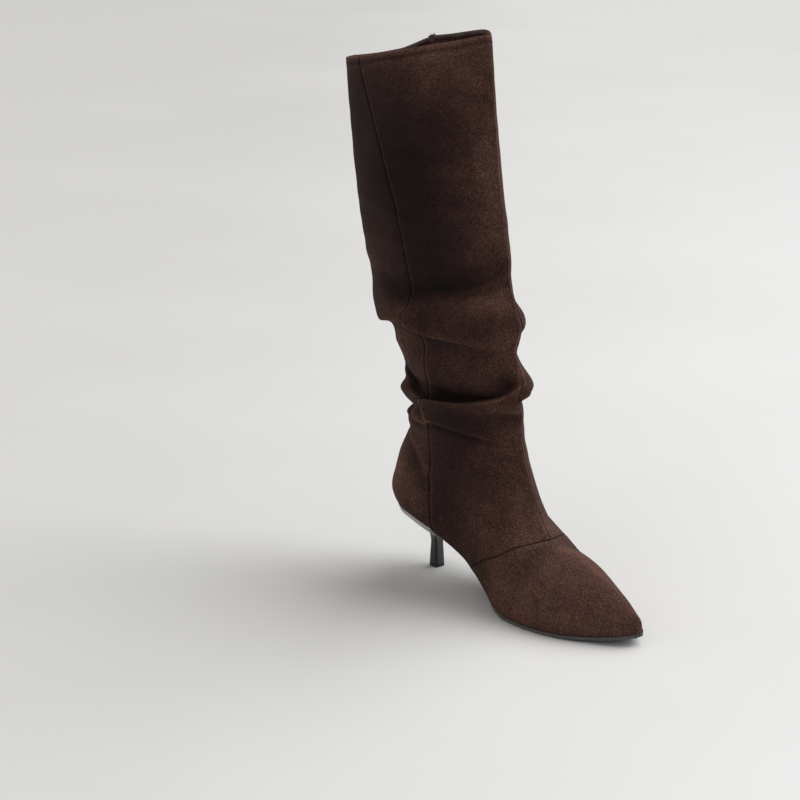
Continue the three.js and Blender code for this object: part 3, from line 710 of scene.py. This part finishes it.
suedeOuter = suede("brown_suede")
# the facing's tone is lifted lighter as painted light, where the inside lies in shade
suedeInner = suede("suede_facing", seams=False, lift=0.32)
heelBlack = plainFinish("heel_gloss", (0.005, 0.0055, 0.0056), 0.16, coat=0.45, bumpScale=90, bumpSize=0.02,
                        shine=0.4, reflectionColour=(0.36, 0.363, 0.363))
tipBlack = plainFinish("tip_rubber", (0.006, 0.006, 0.006), 0.62, bumpScale=900, bumpSize=0.12)
soleBlack = plainFinish("sole_rubber", (0.052, 0.0522, 0.053), 0.42, bumpScale=700, bumpSize=0.1)
tapeGrey = plainFinish("edge_tape", (0.06, 0.045, 0.038), 0.9, bumpScale=1500, bumpSize=0.4, speck=0.8,
                       shine=0.12)
threadBrown = plainFinish("thread", (0.008, 0.0045, 0.004), 0.8, bumpScale=2500, bumpSize=0.4, shine=0.2)
print("materials made")

# The upper: outer skin, rolled rim, inner wall and turned-in lasting edge, one closed shell
levels = skinRows()
turns = skinTurns(levels)
atGrid = np.repeat(levels[:, None], turns.shape[1], 1)
outer, extraPush, tone = outerSkin(atGrid, turns)
normals = gridNormals(outer)

# Soft light and dark areas, partly the nap's own tone and partly painted light and shade: x, y, z, radius, amount
napAndShadePatches = [
    (26, -36, 300, 40, -0.3), (58, -30, 256, 38, -0.2), (66, -25, 330, 34, -0.08), (88, -8, 300, 28, 0.1),
    (95, -10, 250, 24, 0.12), (60, -22, 388, 24, 0.13), (10, -30, 378, 24, 0.08), (-30, -24, 326, 38, -0.24),
    (18, -24, 152, 17, -0.14), (-10, -30, 260, 30, -0.08), (-4, -30, 206, 20, 0.04), (100, -14, 213, 20, 0.12),
    (56, -36, 214, 16, 0.08), (64, -34, 193, 20, -0.18), (94, -20, 196, 18, -0.1), (4, -22, 178, 18, -0.24),
    (78, 0, 370, 18, 0.12), (84, 2, 338, 16, 0.1), (26, -26, 178, 20, 0.1), (66, -30, 172, 26, 0.03),
    (112, -10, 175, 16, 0.12), (80, -33, 132, 26, -0.2), (62, -34, 150, 18, -0.06), (70, -34, 98, 30, -0.12),
    (118, -6, 112, 17, 0.14), (16, -24, 84, 26, 0.2), (6, -20, 62, 16, 0.1), (30, -30, 66, 18, 0.08),
    (66, -34, 66, 22, -0.05), (104, -32, 56, 22, 0.1), (140, -18, 62, 26, 0.12), (165, 0, 50, 28, 0.1),
    (190, 0, 40, 28, 0.1), (218, -6, 26, 24, 0.14), (170, -34, 26, 32, 0.12), (130, -36, 30, 24, 0.06),
    (150, 24, 52, 30, 0.1), (40, 36, 300, 60, 0.02), (60, 34, 120, 50, 0.02), (56, -31, 122, 11, 0.16),
    (51, -27, 107, 12, 0.14), (51, -25, 144, 12, 0.1), (81, -24, 150, 13, 0.07), (104, -17, 154, 13, 0.07),
    (49, -36, 209, 12, -0.09), (66, -34, 210, 14, -0.08), (83, -26, 214, 14, -0.06), (29, -35, 235, 20, 0.08),
    (30, -31, 220, 14, 0.06), (3, -28, 211, 12, -0.09), (92, -5, 320, 9, 0.13), (94, -5, 306, 9, 0.13),
    (96, -6, 293, 9, 0.13), (98, -5, 278, 9, 0.13), (101, -5, 261, 9, 0.1), (92, -3, 337, 12, 0.07),
    (143, -31, 41, 15, -0.07), (173, -7, 45, 14, -0.06), (118, -10, 112, 16, -0.07), (52, -29, 153, 10, 0.08),
    (113, -4, 212, 9, 0.13), (114, -5, 192, 10, 0.13), (-7, -31, 318, 16, 0.08), (3, -31, 359, 16, -0.06),
    (130, -7, 83, 10, 0.1), (133, -9, 75, 8, 0.06), (50, -28, 58, 11, 0.1), (36, -28, 65, 10, 0.06),
    (76, -29, 179, 14, 0.05), (89, -23, 181, 14, 0.06), (196, -32, 12, 8, 0.08), (215, -23, 11, 8, 0.08),
    (229, -13, 13, 8, 0.08), (73, -31, 119, 12, 0.07), (85, -28, 121, 10, 0.06),
]
# tones run from 0, the darkest, to 1, painted light and shade included; gaps and depths are in millimetres
upperLook = {
    "nap": 0.45, "rimTone": 0.84, "reliefLightAndShade": 0.1, "hollow": -0.14, "ridge": 0.16,
    "farGap": 12.0, "seamDepth": 0.75, "seamWidth": 1.5, "crossDepth": 0.45, "crossWidth": 1.4, "crossTight": 1.4,
    "tubeMiddle": 176, "tubeReach": 34, "wallFollows": 0.4,
}
farGap = upperLook["farGap"]
flatOuter = outer.reshape(-1, 3)
# the upper's tone: the nap's own tone with painted light and shade laid over it
nap = np.full(len(flatOuter), upperLook["nap"])
for x, y, z, radius, amount in napAndShadePatches:
    nap += amount * bump(np.linalg.norm(flatOuter - np.array([x, y, z]), axis=1) / radius)
nap = nap.reshape(atGrid.shape) + tone

# Painted light and shade: ridges are painted lighter and hollows darker
reliefLightAndShade = ((outer - blurGrid(outer, 14, 10)) * normals).sum(-1)
nap += np.clip(reliefLightAndShade * upperLook["reliefLightAndShade"], upperLook["hollow"], upperLook["ridge"])

# How far each point is from the nearest upright seam, the back's middle counted in
seamGap = np.full(flatOuter.shape[0], farGap)
turnShare = turns / (2 * np.pi)
fineAt = np.linspace(0, 1, 700)
for path in (medialSeam, lateralSeam, frontSeam, lambda at: 0 * at + 0.5):
    line = seamLine(fineAt, path(fineAt) * 2 * np.pi)
    around = np.abs((turnShare - path(atGrid) + 0.5) % 1 - 0.5).ravel()
    close = np.where(around < 0.07)[0]
    gap, index = nearestTo(flatOuter[close], line)
    if path is frontSeam:  # it ends at the cross seam and is finer on the foot
        gap = gap + farGap * softStep(crossAt(turnShare) - atGrid, 0.0, 0.004).ravel()[close]
        gap = gap + 0.42 * (1 - softStep(atGrid, 0.45, 0.6)).ravel()[close]
    seamGap[close] = np.minimum(seamGap[close], gap)
seamGap = seamGap.reshape(atGrid.shape)

# The same for the seam over the forefoot, below zero on its heel side
crossTurns = np.linspace(-0.275, 0.275, 500)
crossLine = seamLine(crossAt(crossTurns), crossTurns * 2 * np.pi)
crossTangent = np.gradient(crossLine, axis=0)
crossTangent /= np.linalg.norm(crossTangent, axis=1, keepdims=True)
gap, index = nearestTo(flatOuter, crossLine)
ahead = np.array([1.0, 0, 0]) - crossTangent[index] * crossTangent[index][:, :1]
side = ((flatOuter - crossLine[index]) * ahead).sum(1)
crossGap = np.clip(np.where(side > 0, gap, -gap), -farGap, farGap).reshape(atGrid.shape)

# Sewn edges draw the suede in
dip = -upperLook["seamDepth"] * bump(seamGap / upperLook["seamWidth"])
dip -= upperLook["crossDepth"] * bump(crossGap / upperLook["crossWidth"])
dip += 0.25 * bump((crossGap - 3.2) / 2.2)
outer = outer + normals * dip[..., None]
# on the tube between the folds the seam shows as a thin light ridge more than as a dark line
tubeBand = bump((outer[:, :, 2] - upperLook["tubeMiddle"]) / upperLook["tubeReach"])
nap += (0.07 + 0.08 * tubeBand) * bump((seamGap - 2.2) / 1.0) + 0.05 * bump((crossGap - 2.2) / 1.2)

# Inner wall, drawn in further where the skin is folded deep
innerLevels = np.linspace(1, 0, skin["innerRows"] + 1)
nearestLevel = np.abs(levels[None] - innerLevels[:, None]).argmin(1)
wallPoints = blurGrid(outer, 6, 2)
wallNormals = gridNormals(blurGrid(outer, 10, 4))
deep = np.maximum(-extraPush, 0)
for _ in range(10):
    deep = np.maximum(deep, 0.98 * np.maximum(np.roll(deep, 1, 0), np.roll(deep, -1, 0)))
wallDepth = bootSizes["upperWall"] + upperLook["wallFollows"] * deep * softStep(atGrid, 0.3, 0.4)
wall = wallPoints - wallNormals * wallDepth[..., None]
rimRowCount = 8  # these keep the plain wall, so that the rim stays even
wall[-rimRowCount:] = (outer - normals * bootSizes["upperWall"])[-rimRowCount:]
inner = wall[nearestLevel]

rim = []
for step in range(1, skin["rimRoll"]):
    angle = math.pi * step / skin["rimRoll"]
    share = (1 - math.cos(angle)) / 2
    roll = mix(outer[-1], inner[0], share)
    roll[:, 2] += 0.8 * math.sin(angle)
    rim.append(roll)
lastingEdge = outer[:1] - normals[:1] * 0.6 - np.array([0, 0, 0.15])
shell = np.concatenate([outer, np.array(rim), inner, lastingEdge, outer[:1]], 0)


def overShell(values, rimValue=None, innerValue=None):
    rimPart = np.repeat(values[-1:], len(rim), 0)
    innerPart = values[nearestLevel]
    if rimValue is not None:
        rimPart = np.full_like(rimPart, rimValue)
    if innerValue is not None:
        innerPart = np.full_like(innerPart, innerValue)
    return np.concatenate([values, rimPart, innerPart, values[:1], values[:1]], 0)


# The rim's edge is lighter, the stitched line under it is dark
rimDrop = outer[-1:, :, 2] - outer[:, :, 2]
nap += 0.21 * bump(rimDrop / 1.8) - 0.2 * bump((rimDrop - 3.2) / 0.7) + 0.08 * bump((rimDrop - 6) / 2.5)
girthRow, uvUnit = 240, 100  # the row measured round the shaft, and millimetres to one length of the UV map
aroundLength = np.concatenate([[0], np.cumsum(np.linalg.norm(np.diff(outer[girthRow], axis=0), axis=1))])
upLength = np.concatenate([[0], np.cumsum(np.linalg.norm(np.diff(shell.mean(1), axis=0), axis=1))])
uv = np.stack(np.broadcast_arrays(aroundLength[None] / uvUnit, upLength[:, None] / uvUnit), -1)
innerStart = len(levels) + len(rim) + 1
facingSlots = np.zeros(shell.shape[0], int)
facingSlots[innerStart:-2] = 1
upperValues = {
    "tone": overShell(nap, upperLook["rimTone"]),
    "seam": overShell(seamGap + 0.4 * tubeBand, None, farGap),
    "crossSeam": overShell(crossGap * upperLook["crossTight"], farGap, farGap),
}
upper = shapedGrid("boot_upper", shell, uv, upperValues, outside=False, slots=facingSlots)
upper.data.materials.append(suedeOuter)
upper.data.materials.append(suedeInner)
print("upper shaped:", len(upper.data.polygons), "faces")


# A closed piece from loops of points, first loop to last; both ends are filled
def lofted(name, loops, material, values=None):
    loops = [np.concatenate([loop, loop[:1]], 0) for loop in loops]
    piece = shapedGrid(name, np.array(loops), values=values, fill=True)
    piece.data.materials.append(material)
    return piece


def edgeOf(turn, outset, drop):
    here = seamLine(np.zeros_like(turn), turn)
    along = seamLine(np.zeros_like(turn), turn + 1e-3) - seamLine(np.zeros_like(turn), turn - 1e-3)
    outwardEdge = np.stack([along[:, 1], -along[:, 0]], -1)
    outwardEdge /= np.linalg.norm(outwardEdge, axis=1, keepdims=True)
    here[:, :2] += outwardEdge * np.reshape(outset, (-1, 1))
    here[:, 2] = featherHeight(np.clip(here[:, 0] / bootSizes["footLength"], 0, 1)) - drop
    return here


# The turn at which the lasting edge has come this far from the heel
def edgeTurn(share):
    front, back = ringRows[0][1], ringRows[0][3]
    return math.acos(2 * (share - back) / (front - back) - 1)


# The outsole, from the heel breast round the toe: a thin black sole with a fine rib along its top edge
outsole = {
    "rows": [(0.2, -2.2, 0.75), (0.42, -2.2, 0.75), (0.54, -0.8, 0.85), (0.62, 0.7, 1), (0.72, 1, 1),
             (0.93, 0.8, 1),
             (1.0, -0.5, 1)],
    "steps": 220,
    "groove": 0.28,
    "bevel": 0.45,
}
soleOut = smoothCurve(outsole["rows"], 0, 1)
soleThick = smoothCurve(outsole["rows"], 0, 2)


def soleLoop(inset, drop, width=1.0):
    breast = (bootSizes["seatLength"] + bootSizes["fitGap"]) / bootSizes["footLength"]
    breastTurn = edgeTurn(breast)
    turn = np.linspace(-breastTurn, breastTurn, outsole["steps"] + 1)
    along = seamLine(np.zeros_like(turn), turn)[:, 0] / bootSizes["footLength"]
    full = soleThick(along) * bootSizes["soleThickness"]
    loop = edgeOf(turn, soleOut(along) * bootSizes["soleEdge"] - inset, bootSizes["fitGap"] + drop * full)
    loop[[0, -1], 0] = breast * bootSizes["footLength"]
    loop[:, 1] *= width
    return loop


soleRings = [soleLoop(0, 0, share) for share in (0.0, 0.35, 0.7, 0.95)]
soleRings += [
    soleLoop(0.25, 0), soleLoop(0.05, 0.03), soleLoop(0, 0.1), soleLoop(0, 0.24), soleLoop(0.05, 0.3),
    soleLoop(outsole["groove"], 0.36), soleLoop(outsole["groove"], 0.42), soleLoop(0.05, 0.48),
    soleLoop(0, 0.56), soleLoop(0, 0.78), soleLoop(0.12, 0.9), soleLoop(outsole["bevel"], 0.97),
    soleLoop(outsole["bevel"] + 0.5, 1.0),
]
soleRings += [soleLoop(outsole["bevel"] + 0.5, 1.0, share) for share in (0.95, 0.7, 0.35, 0.0)]
sole = shapedGrid("boot_sole", np.array(soleRings), fill=True)
sole.data.materials.append(soleBlack)
print("sole shaped")


# The insole: a thin padded sock inside, its edge rounded over
def sockLoop(inset, lift, width=1.0):
    turn = np.linspace(-math.pi, math.pi, 161)
    turn = turn[1:-1]
    loop = edgeOf(turn, -bootSizes["upperWall"] - 2.4 * bootSizes["fitGap"] - inset, -bootSizes["fitGap"] - lift)
    loop[:, 1] *= width
    return loop


sockRings = [sockLoop(0, 0, share) for share in (0.0, 0.5, 0.9)]
sockTop = bootSizes["insoleThickness"]
sockRings += [sockLoop(0.2, 0), sockLoop(0, 0.4), sockLoop(0, 1.2), sockLoop(0.5, 1.8), sockLoop(1.4, sockTop)]
sockRings += [sockLoop(1.4, sockTop + 0.5 * (1 - share * share), share) for share in (0.9, 0.7, 0.45, 0.2, 0.0)]
sock = shapedGrid("boot_insole", np.array(sockRings[::-1]), fill=True)
sock.data.materials.append(suedeInner)

# The heel: a thin cup under the seat that curls into a slim, square stem
heel = {
    "stem": [(0.0, 1, 1), (0.18, 0.92, 0.95), (0.38, 0.72, 0.92), (0.62, 0.6, 0.94)],  # rise, length, width
    "cup": [(0, 0), (0.012, 0.03), (0.035, 0.1), (0.07, 0.2), (0.12, 0.33), (0.18, 0.45), (0.27, 0.58),
            (0.38, 0.7), (0.5, 0.8),
            (0.64, 0.89), (0.8, 0.96), (1, 1)],  # drop, drawn in
    "neck": 0.43,
    "band": [(0, 0.004, 1), (24, 0.004, 1), (36, 0.005, 1), (48, 0.0055, 1),
             (58, 0.0045, 0.6)],  # along, rise, outset
    "hang": 2.3,
    "squareness": 7,
    "steps": 112,
    "frontSteps": 15,
    "reflectionFade": (16, 34),  # the painted reflection on the cup's edge comes in between these lengths
}
stemLength = smoothCurve(heel["stem"], 0, 1)
stemWidth = smoothCurve(heel["stem"], 0, 2)
bandRise = smoothCurve(heel["band"], 0, 1)
bandOut = smoothCurve(heel["band"], 0, 2)


def stemPoint(z, angle, shrink=0.0):
    rise = z / bootSizes["heelHeight"]
    a = stemLength(rise) * bootSizes["heelTipLength"] / 2 - shrink
    b = stemWidth(rise) * bootSizes["heelTipWidth"] / 2 - shrink
    flat = heel["squareness"]
    radius = (np.abs(np.cos(angle) / a) ** flat + np.abs(np.sin(angle) / b) ** flat) ** (-1 / flat)
    return np.stack([
        bootSizes["heelSetting"] + radius * np.cos(angle), radius * np.sin(angle), np.full_like(angle, 1.0) * z,
    ], -1)


def seatOutline(climb=0.0, outset=0.0):
    start = edgeTurn(bootSizes["seatLength"] / bootSizes["footLength"])
    turn = np.linspace(start, 2 * math.pi - start, heel["steps"] - heel["frontSteps"])
    outline = edgeOf(turn, 0.0, 0)
    shift = edgeOf(turn, outset, 0) - outline
    along = outline[:, 0]
    if climb:
        outline = seamLine(climb * bandRise(along), turn)
    outline += shift * bandOut(along)[:, None]
    outline[[0, -1], 0] = bootSizes["seatLength"]
    across = np.linspace(outline[-1, 1], outline[0, 1], heel["frontSteps"] + 2)[1:-1]
    level = np.full_like(across, featherHeight(bootSizes["seatLength"] / bootSizes["footLength"]))
    front = np.stack([np.full_like(across, bootSizes["seatLength"]), across, level], -1)
    return np.concatenate([outline, front], 0)


seat = seatOutline()
seatMiddle = np.array([bootSizes["heelSetting"], 0.0, 0.0])
angles = np.arctan2(seat[:, 1], seat[:, 0] - seatMiddle[0])
heelRings = []
for share in (0.0, 0.5, 0.97):
    ring = seatMiddle + (seat - seatMiddle) * share
    ring[:, 2] = featherHeight(np.clip(ring[:, 0] / bootSizes["footLength"], 0, 1)) - bootSizes["fitGap"]
    heelRings.append(ring)
# the cup's edge stands up a little over the suede and hangs a little below it
heelRings += [seatOutline(share, outset) for share, outset in (
    (0.5, -0.5), (0.95, -0.5), (1.02, -0.1), (1.03, 0.15), (0.9, 0.35), (0.5, 0.45), (0.0, 0.45),
)]
bandEnd = len(heelRings)
for share, outset in ((0.3, 0.45), (0.6, 0.35), (0.85, 0.15), (1.0, -0.15)):
    ring = seatOutline(0.0, outset)
    ring[:, 2] -= share * heel["hang"]
    heelRings.append(ring)
rimmed = heelRings[-1]
neck = heel["neck"] * bootSizes["heelHeight"]
neckPoint = stemPoint(neck, angles)
cupDrawn = smoothCurve(heel["cup"], 0, 1)
for drop in np.linspace(0, 1, 34)[1:] ** 1.25:
    ring = mix(rimmed, neckPoint, float(cupDrawn(drop)))
    ring[:, 2] = mix(rimmed[:, 2], neck, drop)
    heelRings.append(ring)
bottom = bootSizes["heelTipThickness"] + 0.05
heelRings += [stemPoint(z, angles) for z in np.linspace(neck, bottom, 18)]
# painted reflection: the cup's glossy edge is painted light grey
cupPaintedReflection = np.zeros((len(heelRings), heelRings[0].shape[0] + 1))
cupPaintedReflection[bandEnd - 4:bandEnd + 3] = 1
cupPaintedReflection[bandEnd + 3] = 0.6
cupPaintedReflection *= softStep(np.append(seat[:, 0], seat[0, 0]), *heel["reflectionFade"])
heelPiece = lofted("boot_heel", heelRings, heelBlack, {"cupPaintedReflection": cupPaintedReflection})
tipAngles = np.linspace(0, 2 * math.pi, 97)[:-1]
tipTop = bootSizes["heelTipThickness"]
tipRings = [stemPoint(z, tipAngles, shrink) for z, shrink in (
    (tipTop, 0.5), (tipTop, 0.1), (tipTop - 0.1, 0.0), (1.5, 0.0), (0.35, 0.0), (0.08, 0.1), (0.0, 0.35),
)]
tipPiece = lofted("boot_heel_tip", tipRings, tipBlack)
print("heel shaped")


# Topstitching below the rim and the tape that binds the inner edge
collar = {
    "stitchDrop": 3.2, "stitchLength": 2.0, "stitchPitch": 3.1, "threadWidth": 0.62,
    "tapeDepth": 2.3,
    "jointSize": (0.0052, 0.0034, 0.0052), "jointBevel": 0.0007, "jointSteps": 400,  # in metres, as Blender's own
    "threadEnds": [(-0.9, 0.0018), (0.3, 0.0012)],  # lean, length
}


def rimPoints(drop, offset, count):
    # points a set drop below the rim, on the outer skin, moved out by offset
    fine = np.linspace(-math.pi, math.pi, count + 1)
    low = np.full(count + 1, 0.9)
    high = np.full(count + 1, 1.0)
    top = seamLine(high, fine)[:, 2]
    for _ in range(18):
        middle = (low + high) / 2
        below = top - seamLine(middle, fine)[:, 2] > drop
        low, high = np.where(below, middle, low), np.where(below, high, middle)
    at = (low + high) / 2
    here = seamLine(at, fine)
    step = 1e-3
    up = seamLine(np.minimum(at + step, 1), fine) - seamLine(at - step, fine)
    around = seamLine(at, fine + step) - seamLine(at, fine - step)
    normal = np.cross(around, up)
    normal /= np.linalg.norm(normal, axis=1, keepdims=True)
    return here + normal * offset, normal


# drop below the rim, how far the tape stands off the wall
tapeProfile = [(-0.1, 0.0), (0.5, 0.12), (0.5, 0.4), (0.0, 0.6), (0.9, 0.85),
               (collar["tapeDepth"], 0.85), (collar["tapeDepth"] + 0.2, 0.5), (collar["tapeDepth"], 0.0)]
tapeRings = []
for drop, thick in tapeProfile:
    ring = rimPoints(max(drop, 0.0), -bootSizes["upperWall"] - thick, 220)[0]
    ring[:, 2] += max(0.0, -drop)
    tapeRings.append(ring)
tapeRings.append(tapeRings[0])
tape = shapedGrid("collar_tape", np.array(tapeRings))
tape.data.materials.append(tapeGrey)

# A short joint where the tape's ends meet over the outer seam, with its loose thread ends
jointPoint, jointNormal = rimPoints(1.0, -0.9, collar["jointSteps"])
jointTurns = np.linspace(-math.pi, math.pi, collar["jointSteps"] + 1)
jointIndex = int(np.abs(jointTurns - lateralSeam(1.0) * 2 * math.pi).argmin())
jointAlong = Vector(jointPoint[jointIndex + 1] - jointPoint[jointIndex - 1]).normalized()
jointOut = Vector(jointNormal[jointIndex]).normalized()
jointUp = jointOut.cross(jointAlong).normalized()
if jointUp.z < 0:
    jointUp = -jointUp
jointTurn = Matrix((jointAlong, jointOut, jointUp)).transposed().to_4x4()
jointPlace = Matrix.Translation(Vector(toRow(jointPoint[jointIndex])))
deselectAll()
bpy.ops.mesh.primitive_cube_add(size=1, location=(0, 0, 0))
joint = bpy.context.object
joint.name = joint.data.name = "tape_joint"
joint.data.transform(jointPlace @ jointTurn @ Matrix.Diagonal((*collar["jointSize"], 1)))
bpy.ops.object.mode_set(mode="EDIT")
bpy.ops.mesh.select_all(action="SELECT")
bpy.ops.mesh.bevel(offset=collar["jointBevel"], segments=3)
bpy.ops.object.mode_set(mode="OBJECT")
bpy.ops.object.shade_smooth()
joint.data.materials.append(tapeGrey)
threadEnds = []
for lean, length in collar["threadEnds"]:
    bpy.ops.mesh.primitive_cylinder_add(vertices=8, radius=0.00018, depth=length, location=(0, 0, 0))
    thread = bpy.context.object
    thread.data.transform(jointPlace @ jointTurn @ Matrix.Translation((lean * 0.002, 0, 0.003))
                          @ Matrix.Rotation(lean, 4, "Y"))
    threadEnds.append(thread)
deselectAll()
for thread in threadEnds:
    thread.select_set(True)
bpy.context.view_layer.objects.active = threadEnds[0]
bpy.ops.object.join()
threads = bpy.context.object
threads.name = threads.data.name = "tape_threads"
threads.data.materials.append(threadBrown)

# One stitch is modelled and copied along the line under the rim
stitchLine, stitchNormal = rimPoints(collar["stitchDrop"], -0.12, 1200)
walked = np.concatenate([[0], np.cumsum(np.linalg.norm(np.diff(stitchLine, axis=0), axis=1))])
deselectAll()
bpy.ops.mesh.primitive_uv_sphere_add(segments=8, ring_count=6, radius=0.5, location=(0, 0, 0))
oneStitch = bpy.context.object
oneStitch.name = "stitch"
stitchCopies = []
for start in np.arange(0.5, walked[-1] - collar["stitchPitch"], collar["stitchPitch"]):
    k = int(np.searchsorted(walked, start + collar["stitchLength"] / 2))
    a = stitchLine[np.searchsorted(walked, start)]
    b = stitchLine[min(np.searchsorted(walked, start + collar["stitchLength"]), len(stitchLine) - 1)]
    alongStitch = Vector(b - a).normalized()
    outStitch = Vector(stitchNormal[k])
    acrossStitch = outStitch.cross(alongStitch).normalized()
    outStitch = alongStitch.cross(acrossStitch)
    turnMatrix = Matrix((alongStitch, acrossStitch, outStitch)).transposed().to_4x4()
    size = Matrix.Diagonal((*(collar[key] / 1000 for key in ("stitchLength", "threadWidth", "threadWidth")), 1))
    copy = oneStitch.copy()
    copy.data = oneStitch.data.copy()
    copy.data.transform(Matrix.Translation(Vector(toRow((a + b) / 2))) @ turnMatrix @ size)
    bpy.context.collection.objects.link(copy)
    stitchCopies.append(copy)
bpy.data.objects.remove(oneStitch)
deselectAll()
for copy in stitchCopies:
    copy.select_set(True)
bpy.context.view_layer.objects.active = stitchCopies[0]
bpy.ops.object.join()
stitches = bpy.context.object
stitches.name = stitches.data.name = "collar_stitches"
bpy.ops.object.shade_smooth()
stitches.data.materials.append(threadBrown)
print("collar finished")

for piece, node, slotName in (
    (upper, "upper", "suede"), (sole, "outsole", "sole"), (sock, "insole", "insole"),
    (heelPiece, "heel", "heel"), (tipPiece, "heel_tip", "tip"),
):
    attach(piece, "root")
    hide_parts(node)
for piece in (tape, joint, threads, stitches):
    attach(piece, "root")

# Pale seamless floor with painted light: it brightens gently from the heel's side toward the toe's side
paperLook = {
    "cloud": 2.0, "lightSlope": (2.4, 2.7, 0), "lightSlopeShare": 0.55,
    "dim": (0.69, 0.688, 0.683), "bright": (0.812, 0.812, 0.812),
}
deselectAll()
bpy.ops.mesh.primitive_grid_add(x_subdivisions=40, y_subdivisions=40, size=24, location=(0, 0, 0))
floor = bpy.context.object
floor.name = "floor"
floorMaterial, floorTree, floorShader = newMaterial("studio_paper")
floorWhere = floorTree.nodes.new("ShaderNodeTexCoord").outputs["Object"]
paperAndLight = noiseOn(floorTree, floorWhere, paperLook["cloud"], 3, 0.5)
crossing = floorTree.nodes.new("ShaderNodeVectorMath")
crossing.operation = "DOT_PRODUCT"
crossing.inputs[1].default_value = paperLook["lightSlope"]
floorTree.links.new(floorWhere, crossing.inputs[0])
# painted light: the floor's colour slopes from dim to bright across the scene
lightSlope = mathOn(floorTree, "TANH", crossing.outputs["Value"])
paperAndLight = sumOf(floorTree, paperAndLight, (lightSlope, paperLook["lightSlopeShare"], 0))
paperAndLightColour = rampOn(floorTree, paperAndLight, [(0.0, paperLook["dim"]), (1.0, paperLook["bright"])])
floorTree.links.new(paperAndLightColour, floorShader.inputs["Base Color"])
floorShader.inputs["Roughness"].default_value = 0.7
floorShader.inputs["Specular IOR Level"].default_value = 0.2
floor.data.materials.append(floorMaterial)

# Studio light: a broad key from behind and overhead, a soft box at the far right, a weak fill, pale surroundings
world = bpy.data.worlds.new("studio")
bpy.context.scene.world = world
world.use_nodes = True
world.node_tree.nodes["Background"].inputs["Color"].default_value = (1.0, 0.97, 0.935, 1)
world.node_tree.nodes["Background"].inputs["Strength"].default_value = 0.41

studio = {
    "key": {"kind": "SUN", "at": (0.07, 0.6, 1.0), "size": 1.0, "strength": 2.0, "colour": (0.985, 0.995, 1.0)},
    "side": {"kind": "AREA", "at": (1.5, 1.75, 1.25), "size": 1.5, "strength": 19, "colour": (1.0, 0.995, 0.985)},
    "fill": {"kind": "AREA", "at": (-0.35, -1.7, 0.9), "size": 1.4, "strength": 2, "colour": (0.97, 0.98, 1.0)},
}
aimPoint = Vector((0.0, 0.0, 0.18))
for lampName, lamp in studio.items():
    lampData = bpy.data.lights.new(lampName, lamp["kind"])
    if lamp["kind"] == "SUN":
        lampData.angle = lamp["size"]
    else:
        lampData.shape = "SQUARE"
        lampData.size = lamp["size"]
    lampData.energy = lamp["strength"]
    lampData.color = lamp["colour"]
    lampObject = bpy.data.objects.new(lampName, lampData)
    bpy.context.scene.collection.objects.link(lampObject)
    lampObject.location = lamp["at"]
    aim = aimPoint - Vector(lamp["at"])
    lampObject.rotation_euler = aim.to_track_quat("-Z", "Y").to_euler()

# Camera at the photograph's angle
camera = {"heading": 48.4, "pitch": 16.45, "height": 0.562, "lens": 94.5, "heelAcross": 0.0276, "heelAway": 1.4685}
cameraData = bpy.data.cameras.new("camera")
cameraData.lens = camera["lens"]
cameraData.sensor_width = 36
cameraObject = bpy.data.objects.new("camera", cameraData)
bpy.context.scene.collection.objects.link(cameraObject)
heading, pitch = math.radians(camera["heading"]), math.radians(camera["pitch"])
# image right and the way the camera looks, along the boot's own axes
right = Vector((math.cos(heading), math.sin(heading), 0))
away = Vector((-math.sin(heading), math.cos(heading), 0))
heelSpot = Vector(toRow(np.array([bootSizes["heelSetting"], 0.0, 0.0])))
cameraObject.location = heelSpot - right * camera["heelAcross"] - away * camera["heelAway"]
cameraObject.location.z += camera["height"]
look = away * math.cos(pitch) - Vector((0, 0, math.sin(pitch)))
cameraObject.rotation_euler = look.to_track_quat("-Z", "Y").to_euler()
bpy.context.scene.camera = cameraObject
print("camera and light set")
